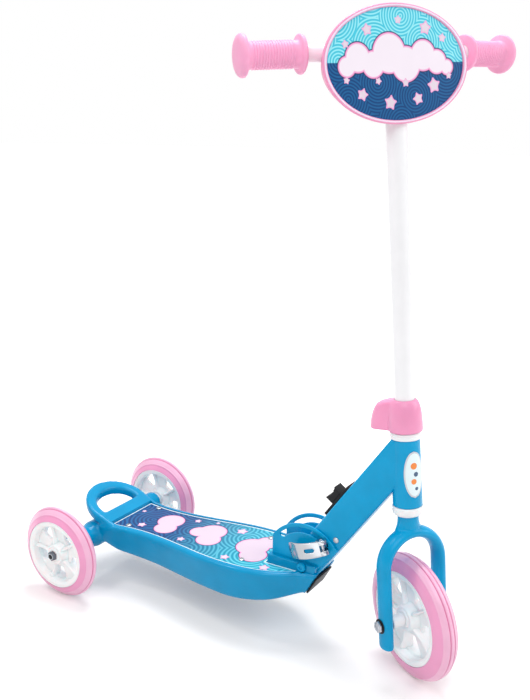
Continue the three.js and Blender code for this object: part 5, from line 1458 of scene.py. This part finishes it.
@dataclass
class QuickRelease(Assembly):
    """The skewer through the cheeks and its curved lever."""

    body: str = "skewer"
    side: float = 23.3
    cam_radius: float = 6.2
    cam_half: float = 8.6
    length: float = 50.0
    thick: float = 2.0
    root_half: float = 8.8
    tip_half: float = 9.6
    bow: float = 7.0
    turn: float = radians(-19)
    slot_start: float = 6.0
    slot_end: float = 18.4
    slot_half: float = 2.4

    def frame_matrix(self) -> Matrix:
        """Gives the lever's own frame: along the lever, outwards, and along the cam's axle."""
        c, s = cos(self.turn), sin(self.turn)
        y, z = polar(SLOT_RADIUS, SKEWER_ANGLE, PIVOT.y, PIVOT.z)
        return Matrix(((0, -1, 0, -self.side), (c, 0, -s, y), (s, 0, c, z), (0, 0, 0, 1)))

    def rise(self, t: float) -> float:
        """Gives how far the strap stands out, at a share of its length."""
        return self.cam_radius + self.bow * 4 * t * (1 - t) - t * (self.cam_radius - self.thick)

    def strap(self) -> Mesh:
        """Gives the bowed strap with its rounded tip and its slot."""
        tip = self.length - self.cam_radius
        stations, points, faces = 46, [], []
        for i in range(stations + 1):
            t = i / stations
            x = tip * t
            half = self.root_half + (self.tip_half - self.root_half) * t
            left = tip - x
            corner = self.tip_half * 0.6
            if left < corner:
                half *= sqrt(max(0.02, 1 - ((corner - left) / corner) ** 2))
            slot = 0.0
            if self.slot_start < x < self.slot_end:
                edge = min(x - self.slot_start, self.slot_end - x, self.slot_half)
                slot = self.slot_half * sqrt(max(0.0, 1 - ((self.slot_half - edge) / self.slot_half) ** 2))
            for side in (-1, 1):
                for k in range(5):
                    y = side * (max(slot, 0.01) + (half - max(slot, 0.01)) * (k / 4))
                    points.append((x, self.rise(t), y))
        for i in range(stations):
            a = i * 10
            for side in (0, 5):
                for k in range(4):
                    p = a + side + k
                    faces.append((p, p + 1, p + 11, p + 10))
            x = tip * (i + 0.5) / stations
            if not self.slot_start < x < self.slot_end:
                faces.append((a, a + 5, a + 15, a + 10))
        return eased(Draft().add(points, faces), 0.45, self.thick)

    def build(self) -> None:
        """Makes the lever, skewer and nut."""
        at = self.frame_matrix()
        lever = stack([self.strap()])
        for low, high in ((-self.cam_half, -3.4), (3.4, self.cam_half)):
            lever.plate(arc(self.cam_radius, 0, 2 * pi, step=0.2)[:-1], low, high, 0.5)
        self.place("lever_skin", lever, at, CHROME, ["quick_release_lever"], body="lever")
        y, z = polar(SLOT_RADIUS, SKEWER_ANGLE, PIVOT.y, PIVOT.z)
        rod = Draft().turned([(0, -self.side), (2.6, -self.side), (2.6, 26), (2.2, 27), (0, 27)], 28, Axis.X,
                             moved(0, y, z))
        rod.turned([(0, -8.9), (1.8, -8.9), (2.2, -8.5), (2.2, 8.5), (1.8, 8.9), (0, 8.9)], 24, Axis.Z, at)
        self.place("skewer_skin", rod, STILL, STEEL, ["skewer"])
        nut = hex_nut(7.0, 8.0, 17.1)
        self.place("skewer_nut_skin", nut, moved(0, y, z), STEEL, ["skewer_nut"])


@dataclass
class Steering(Assembly):
    """The fork, column, bar, grips, cover and front plate, all turned with the steering."""

    body: str = "steering"
    leg_side: float = 35.5
    across: float = 6.5
    deep: float = 10.5
    arch: float = 63.0
    foot: float = 28.0
    foot_stops: tuple[Point, ...] = ((0.7, 0), (0.82, 0.3), (0.92, 1.0), (0.98, 2.2), (1, 4))
    crown_across: tuple[Point, ...] = ((97, 17.5), (101.5, 15.6), (105, 13.2), (109, 11.9), (113, 11.4),
                                       (118, 11.4))
    crown_deep: tuple[Point, ...] = ((97, 10.2), (101.5, 10.8), (105, 11.2), (109, 11.4), (113, 11.4),
                                     (118, 11.4))
    column_radius: float = 10.5
    bar_height: float = 589.7
    bar_radius: float = 8.2
    sweep: float = radians(9.2)
    bend: float = 14.0
    reach: float = 149.0
    plate_half: Point = (82.9, 55.2)
    plate_side: float = -6.0
    plate_drop: float = 13.0
    plate_side_share: float = 1.4
    grip_ribs: Point = (103.6, 145.4)
    grip_rib_count: int = 15
    cover_low: float = 211.2
    cover_high: float = 245.0
    cover_wide: float = 18.5
    cover_narrow: float = 12.1
    lobe_half: float = 11.0
    lobe_reach: float = 39.5
    lobe_height: float = 32.6

    def fork(self) -> None:
        """Makes the fork as an oval tube bent over the wheel, with its crown and steerer."""
        side, feet = self.leg_side, [rise - self.foot for _, rise in self.foot_stops] + [0]
        arch = [(*polar(side, pi * i / 32, 0, self.arch), 0) for i in range(33)]
        path = [*((side, foot, 0) for foot in feet), *arch, *((-side, foot, 0) for foot in reversed(feet))]
        ends = [share for share, _ in self.foot_stops]
        shares = [*ends, *[1.0] * (len(arch) + 2), *reversed(ends)]
        tube = Grower.swept(path, shares, self.across, self.deep, 36, BLUE_PAINT)
        upright = Matrix(((1, 0, 0, 0), (0, 0, 1, -WHEEL_LEAD), (0, 1, 0, 0), (0, 0, 0, 1)))
        body = Draft().take(tube, upright)
        crown = []
        for i in range(22):
            height = 97 + i
            wide, deep = flowing(self.crown_across, height), flowing(self.crown_deep, height)
            crown.append([(x, y, height) for x, y in oval(wide, deep, 56)])
        body.loft(crown)
        body.turned([(0, 110), (11.4, 110), (11.4, 222), (0, 222)], 56, Axis.Z)
        for side in (-1, 1):
            x = side * (self.leg_side + self.across - 0.5)
            boss = [(0, x - side * 3), (8.4, x - side * 3), (8.2, x + side * 0.4), (7.8, x + side * 0.7),
                    (0, x + side * 0.7)]
            body.turned(boss, 36, Axis.X, moved(0, -WHEEL_LEAD, 0))
        self.place("fork_skin", moulded(body, voxel=0.9, rounds=5), STEERED, BLUE_PAINT, ["fork"])

    def fork_bolts(self) -> None:
        """Makes the bolt head, nut and washers at the fork's feet."""
        outer = self.leg_side + self.across + GAP
        for side, name in ((-1, "right"), (1, "left")):
            at = STEERED @ moved(0, -WHEEL_LEAD, 0) @ Matrix.Scale(side, 4, (1, 0, 0))
            washer = shifted([(4.3, 0), (7.6, 0), (8, 0.3), (8, 0.9), (7.6, 1.2), (4.3, 1.2), (4.3, 0)],
                             outer)
            self.place(f"fork_washer_skin_{name}", Draft().turned(washer, 40), at, BLACK,
                       [f"fork_washer_{name}"])
            hub = self.leg_side - self.across - GAP
            ring = [(4.3, 14.3), (6.6, 14.3), (7, 14.7), (7, hub - 0.4), (6.6, hub), (4.3, hub), (4.3, 14.3)]
            self.place(f"front_spacer_skin_{name}", Draft().turned(ring, 40), at, WHITE,
                       [f"front_spacer_{name}"])
            nodes = ["front_axle"] if side < 0 else ["front_nut"]
            nut = hex_nut(6.5, 4.0, outer + 1.5)
            if side < 0:
                nut.turned([(0, -outer - 4), (4, -outer - 4), (4, outer + 1.6), (0, outer + 1.6)], 28)
            self.place(f"front_{'bolt' if side < 0 else 'nut'}_skin", nut, at, STEEL, nodes)

    def bar_place(self, along: float) -> Place:
        """Gives a place along the swept bar, as seen from above."""
        s = abs(along)
        back = s * s / (2 * self.bend) if s < self.bend else s - self.bend / 2
        return copysign(s * cos(self.sweep), along), back * sin(self.sweep), 0

    def tubes(self) -> None:
        """Makes the bar and the column."""
        alongs = [-self.reach, -60.0, *[self.bend * k / 6 for k in range(-6, 7)], 60.0, self.reach]
        bar = Grower.swept([self.bar_place(a) for a in alongs], [1.0] * len(alongs), self.bar_radius,
                           self.bar_radius, 40, WHITE_PAINT)
        self.place("bar_skin", bar, STEERED @ moved(0, 0, self.bar_height), WHITE_PAINT, ["handlebar"])
        r = self.column_radius
        tube = [(0, 140), (r, 140), (r, self.bar_height), (0, self.bar_height)]
        self.place("column_skin", Draft().turned(tube, 64, Axis.Z), STEERED, WHITE_PAINT, ["column"])

    def grips(self) -> None:
        """Makes the two grips: a flanged sleeve, its ribs and the mushroom end."""
        start, end = self.grip_ribs
        profile = [(8.5, 94.4), (17.2, 94.4), (18.1, 95.2), (18.4, 96.5), (18.1, 97.8), (17.2, 98.6),
                   (13.6, 98.9), (12.7, 100), (12.4, start), (12.2, (start + end) / 2), (12.4, end),
                   (12.9, 148.4), (14.2, 149.6), (18.4, 150.4), (19.4, 151.4), (19.7, 153), (19.4, 154.6),
                   (18.2, 156.3), (15.6, 157.8), (11.4, 158.8), (6, 159.3), (0, 159.4), (0, 149.3),
                   (8.5, 149.3), (8.5, 94.4)]
        pitch = (end - start - 4) / (self.grip_rib_count - 1)
        offset = self.bar_place(self.bend)[1] - self.bend * sin(self.sweep)
        for side, name in ((-1, "right"), (1, "left")):
            ribs = Grower.rib_row(self.grip_rib_count, pitch, 12.15, 0.85, PINK_GRIP)
            grip = Draft().take(ribs, moved(start + 2, 0, 0)).turned(profile, 72)
            arm = (STEERED @ moved(0, offset, self.bar_height) @ Matrix.Rotation(side * self.sweep, 4, "Z")
                   @ (FLIP_Z if side < 0 else STILL))
            self.place(f"grip_skin_{name}", grip, arm, PINK_GRIP, [f"grip_{name}"], sharp=50)

    def cover(self) -> None:
        """Makes the pink cover over the clamp, melted into one soft shape."""
        low, high, wide = self.cover_low, self.cover_high, self.cover_wide
        dome: list[Point] = [(0, low), (wide, low)]
        for height, share in ((0.2, 0.99), (0.42, 0.93), (0.58, 0.85), (0.68, 0.76), (0.78, 0.64),
                              (0.86, 0.5), (0.93, 0.32), (0.97, 0.18), (1, 0)):
            dome.append((self.cover_narrow + (wide - self.cover_narrow) * share, low + (high - low) * height))
        dome.append((0, high))
        rings = []
        for i in range(13):
            height = low + self.lobe_height * i / 12
            reach = flowing(((0, 1), (0.24, 0.98), (0.45, 0.94), (0.67, 0.87), (0.84, 0.77), (0.94, 0.63),
                             (1, 0.45)), i / 12)
            width = self.lobe_half * sqrt(reach)
            bulge = max(self.lobe_reach * reach - width, 0.3)
            rings.append([(width, 0, height),
                          *((x, bulge + y, height) for x, y in arc(width, 0, pi, step=0.16)),
                          (-width, 0, height)])
        body = Draft().turned(dome, 72, Axis.Z).loft(rings)
        skin = moulded(body, voxel=0.8, rounds=8)
        bore = Draft().turned([(0, low - 5), (10.9, low - 5), (10.9, high + 5), (0, high + 5)], 48, Axis.Z)
        hollow = Draft().turned([(0, low - 5), (16.6, low - 5), (16.2, low + 12), (11, low + 20),
                                 (0, low + 20)], 48, Axis.Z)
        at = STEERED @ Matrix.Rotation(-TURN, 4, "Z")
        self.place("clamp_cover_skin", carved(skin, [("DIFFERENCE", bore), ("DIFFERENCE", hollow)]), at, PINK,
                   ["clamp_cover"], sharp=40)

    def oval(self, inset: float, y: float, count: int = 96) -> list[Place]:
        """Gives an oval ring of the front plate."""
        w, h = self.plate_half[0] - inset * self.plate_side_share, self.plate_half[1] - inset
        middle = self.bar_height - self.plate_drop
        return [(self.plate_side + w * cos(a), y, middle + h * sin(a))
                for a in [-2 * pi * i / count for i in range(count)]]

    def ring_skin(self, stops: Sequence[Point]) -> Draft:
        """Gives a ring whose section follows stops of inset and depth."""
        return Draft().loft([self.oval(inset, y) for inset, y in stops], closed=False)

    def front_plate(self) -> None:
        """Makes the pink frame, its lilac band, the film with stars, and the back shell."""
        rim = [(1.5, -14.6), (1.1, -14.7), (0.6, -14.45), (0.2, -14), (0, -13.4), (0.15, -12.8), (4.9, -1),
               (16, -1), (16, -11.5), (1.5, -11.5), (1.5, -14.6)]
        self.place("plate_frame_skin", self.ring_skin(rim), STEERED, PINK, ["plate_frame"], sharp=45)
        band = [(1.5, -14.7), (1.9, -14.95), (2.4, -15), (2.9, -14.8), (3.1, -14.3), (3.1, -12.6),
                (1.5, -12.6), (1.5, -14.7)]
        self.place("plate_band", self.ring_skin(band), STEERED, LILAC, sharp=45)
        line = [(3.1, -14.1), (3.3, -14.25), (3.6, -14.15), (3.75, -13.9), (3.75, -11.7), (3.1, -11.7),
                (3.1, -14.1)]
        self.place("plate_line", self.ring_skin(line), STEERED, PINK, sharp=45)
        middle, side = self.bar_height - self.plate_drop, self.plate_side
        film = Draft().loft([self.oval(3.8, -13.0), self.oval(3.8, -11.6)])
        self.place("plate_film", film, STEERED, PLATE_FILM, ["plate_picture"],
                   film=lambda p: ((p[0] - side) / 100, (p[2] - middle) / 100))
        spots = [(-57, -14, 0), (-40, -27, 0), (-22, -15, 0), (-9, -35, 0), (9, -17, 0), (23, -32, 0),
                 (42, -20, 0), (60, -11, 0), (33, 33, 0), (-33, 31, 0), (2, 40, 0), (-57, 18, 0), (53, 24, 0)]
        sizes = [0.5, 0.85, 0.5, 1.0, 0.6, 0.85, 1.05, 0.5, 0.95, 0.8, 0.55, 0.55, 0.6]
        face = STEERED @ Matrix(((1, 0, 0, side), (0, 0, -1, -13.05), (0, 1, 0, middle), (0, 0, 0, 1)))
        add_stars(self, "plate", spots, sizes, 7.6, face, 23)
        back = [(4.9, -0.7), (4.9, -0.4), (6.4, 3.4), (8.1, 7.7), (8.7, 9.2), (9.5, 10.6), (10.6, 11.6),
                (12.2, 12)]
        shell = self.ring_skin(back)
        for inset, y in (back[0], back[-1]):
            closing = self.oval(inset, y)
            shell.add(closing, [tuple(range(len(closing)))])
        tubes = Draft().turned([(0, 0), (11.2, 0), (11.2, self.bar_height), (0, self.bar_height)], 48, Axis.Z)
        self.place("plate_back_skin", carved(shell.mesh(), [("DIFFERENCE", tubes)]), STEERED, PINK,
                   ["plate_back"], sharp=40)
        turned = Matrix(((1, 0, 0, side), (0, 0, 1, 12.1), (0, -1, 0, middle - 10), (0, 0, 0, 1)))
        heads = Grower.scattered(screw_head(3.0, 1.7), [(-59.9, 0, 0), (59.9, 0, 0)], [1.0, 1.0], 1.0, 3,
                                 STEEL)
        self.place("plate_screws", heads, STEERED @ turned, STEEL, ["plate_screw_1", "plate_screw_2"])

    def build(self) -> None:
        """Makes the whole steering."""
        self.fork()
        self.fork_bolts()
        self.tubes()
        self.grips()
        self.cover()
        self.front_plate()


class Leftovers(Assembly):
    """The CAD nodes that stay as they are and only get a finish."""

    FINISHES: dict[str, Finish] = {"rear_axle": STEEL, "rear_washer_right": WHITE, "rear_washer_left": WHITE,
                                   "bracket_screw_1": STEEL, "bracket_screw_2": STEEL, "column_clamp": STEEL,
                                   "clamp_bolt": DARK_STEEL, "front_wheel_bush": STEEL,
                                   "rear_wheel_right_bush": STEEL, "rear_wheel_left_bush": STEEL}

    def build(self) -> None:
        """Gives each node that still shows its finish."""
        for name, node in sorted(frame["nodes"].items()):
            if node.hide_render:
                continue
            finish = self.FINISHES.get(name)
            if finish is None:
                LOG.warning("%s shows and has no finish of its own", name)
                finish = STEEL
            node.data.materials.clear()
            node.data.materials.append(finish.material())
            LOG.info("%s keeps its solid, with %s", name, finish.name)


# The studio and the whole.


@dataclass
class Studio:
    """The camera, lamps, floor and backdrop."""

    camera_place: Place = (-816.8, -358.6, 598.2)
    azimuth: float = -57.86
    elevation: float = 15.04
    roll: float = 1.45
    focal_pixels: float = 880.32
    sensor: float = 36.0
    image: Point = (530.0, 700.0)
    centre: Point = (262.18, 347.96)

    def camera(self) -> None:
        """Sets the camera where the photograph was taken from."""
        a, e, r = (radians(v) for v in (self.azimuth, self.elevation, self.roll))
        back = Vector((sin(a) * cos(e), -cos(a) * cos(e), sin(e)))
        right = (-back).cross(Vector((0, 0, 1))).normalized()
        up = right.cross(-back)
        right, up = right * cos(r) + up * sin(r), up * cos(r) - right * sin(r)
        data = bpy.data.cameras.new("camera")
        data.sensor_width = self.sensor
        data.sensor_fit = "AUTO"
        data.lens = self.focal_pixels / max(self.image) * self.sensor
        data.shift_x = (self.image[0] / 2 - self.centre[0]) / max(self.image)
        data.shift_y = -(self.image[1] / 2 - self.centre[1]) / max(self.image)
        data.clip_end = 100
        camera = bpy.data.objects.new("camera", data)
        place = (Vector(self.camera_place) + SHIFT) / 1000
        camera.matrix_world = Matrix(((right.x, up.x, back.x, place.x), (right.y, up.y, back.y, place.y),
                                      (right.z, up.z, back.z, place.z), (0, 0, 0, 1)))
        bpy.context.scene.collection.objects.link(camera)
        bpy.context.scene.camera = camera

    def lamp(self, name: str, place: Place, aim: Place, size: float, power: float) -> None:
        """Adds a soft square lamp that looks at a point."""
        data = bpy.data.lights.new(name, "AREA")
        data.shape = "SQUARE"
        data.size = size
        data.energy = power
        lamp = bpy.data.objects.new(name, data)
        lamp.location = place
        lamp.rotation_euler = (Vector(aim) - Vector(place)).to_track_quat("-Z", "Y").to_euler()
        bpy.context.scene.collection.objects.link(lamp)

    def white_to_eye(self, tree: Tree) -> tuple[Graph, Socket]:
        """Gives a value of one where the eye, a reflection or glass looks at the surface."""
        graph = Graph(tree)
        path = graph.node("ShaderNodeLightPath")
        seen = graph.math("MAXIMUM", path.outputs["Is Camera Ray"], path.outputs["Is Glossy Ray"])
        return graph, graph.math("MAXIMUM", seen, path.outputs["Is Transmission Ray"])

    def world(self) -> None:
        """Sets a white backdrop with a softer light from it."""
        world = bpy.data.worlds.new("studio")
        world.use_nodes = True
        bpy.context.scene.world = world
        graph, seen = self.white_to_eye(world.node_tree)
        nodes = world.node_tree.nodes
        graph.feed(nodes["Background"], {"Color": (0.97, 0.98, 1.0, 1), "Strength": 0.5})
        white = graph.node("ShaderNodeBackground", {"Color": (1, 1, 1, 1), "Strength": 1.0})
        mixed = graph.node("ShaderNodeMixShader", {0: seen, 1: nodes["Background"], 2: white})
        graph.feed(nodes["World Output"], {0: mixed})

    def floor(self) -> None:
        """Lays a pale floor that keeps the shadow and runs out to white."""
        mesh = bpy.data.meshes.new("floor")
        work = bmesh.new()
        bmesh.ops.create_circle(work, cap_ends=True, radius=14, segments=96)
        work.to_mesh(mesh)
        work.free()
        finish = bpy.data.materials.new("studio floor")
        finish.use_nodes = True
        graph, seen = self.white_to_eye(finish.node_tree)
        nodes = finish.node_tree.nodes
        graph.feed(nodes["Principled BSDF"], {"Base Color": (0.83, 0.815, 0.8, 1), "Roughness": 0.9})
        place = graph.node("ShaderNodeTexCoord").outputs["Object"]
        away = graph.node("ShaderNodeVectorMath", {0: place}, operation="LENGTH").outputs["Value"]
        lift = graph.span(away, 0.3, 0.7, 0.2, 1.0, interpolation_type="SMOOTHSTEP")
        white = graph.node("ShaderNodeEmission",
                           {"Color": (1, 1, 1, 1), "Strength": graph.math("MULTIPLY", seen, lift)})
        mixed = graph.node("ShaderNodeAddShader", {0: nodes["Principled BSDF"], 1: white})
        graph.feed(nodes["Material Output"], {0: mixed})
        mesh.materials.append(finish)
        floor = bpy.data.objects.new("floor", mesh)
        floor.location.z = -0.0005
        bpy.context.scene.collection.objects.link(floor)

    def build(self) -> None:
        """Sets up the whole studio."""
        self.camera()
        self.world()
        self.floor()
        self.lamp("key lamp", (-1.5, -0.6, 2.1), (0, 0, 0.25), 1.6, 22)
        self.lamp("fill lamp", (1.0, -1.9, 1.5), (0, 0, 0.3), 1.4, 19)
        self.lamp("top lamp", (0.5, 0.3, 2.2), (0, 0, 0.2), 0.8, 24)
        self.lamp("spark lamp", (-0.5, 1.0, 1.7), (0, 0, 0.2), 0.3, 5)
        bpy.context.scene.view_settings.view_transform = "Standard"


def wheels() -> list[Wheel]:
    """Gives the three wheels in their places."""
    made = []
    for side, name in ((-1, "rear_wheel_right"), (1, "rear_wheel_left")):
        made.append(Wheel(name, name, moved(side * REAR_SIDE, REAR_BACK, REAR_RADIUS),
                          tyre_radius=REAR_RADIUS, half_width=12.5, rim_radius=43.2, hub_radius=12.0,
                          hub_half=REAR_HUB_HALF, shoulder=1.4, crown=1.0))
    made.append(Wheel("front_wheel", "front_wheel", STEERED @ moved(0, -WHEEL_LEAD, 0),
                      tyre_radius=FRONT_RADIUS, half_width=13.5, rim_radius=52.0, hub_radius=14.0,
                      hub_half=14.0, shoulder=2.2, crown=1.6))
    return made


def main() -> None:
    """Builds every sub-assembly and the studio."""
    logging.basicConfig(level=logging.INFO, format="%(name)s: %(message)s")
    Studio().build()
    for part in (*wheels(), Deck(), FoldBracket(), Neck(), QuickRelease(), Steering(), Leftovers()):
        LOG.info("building %s", type(part).__name__)
        part.build()


if __name__ == "__main__":
    main()
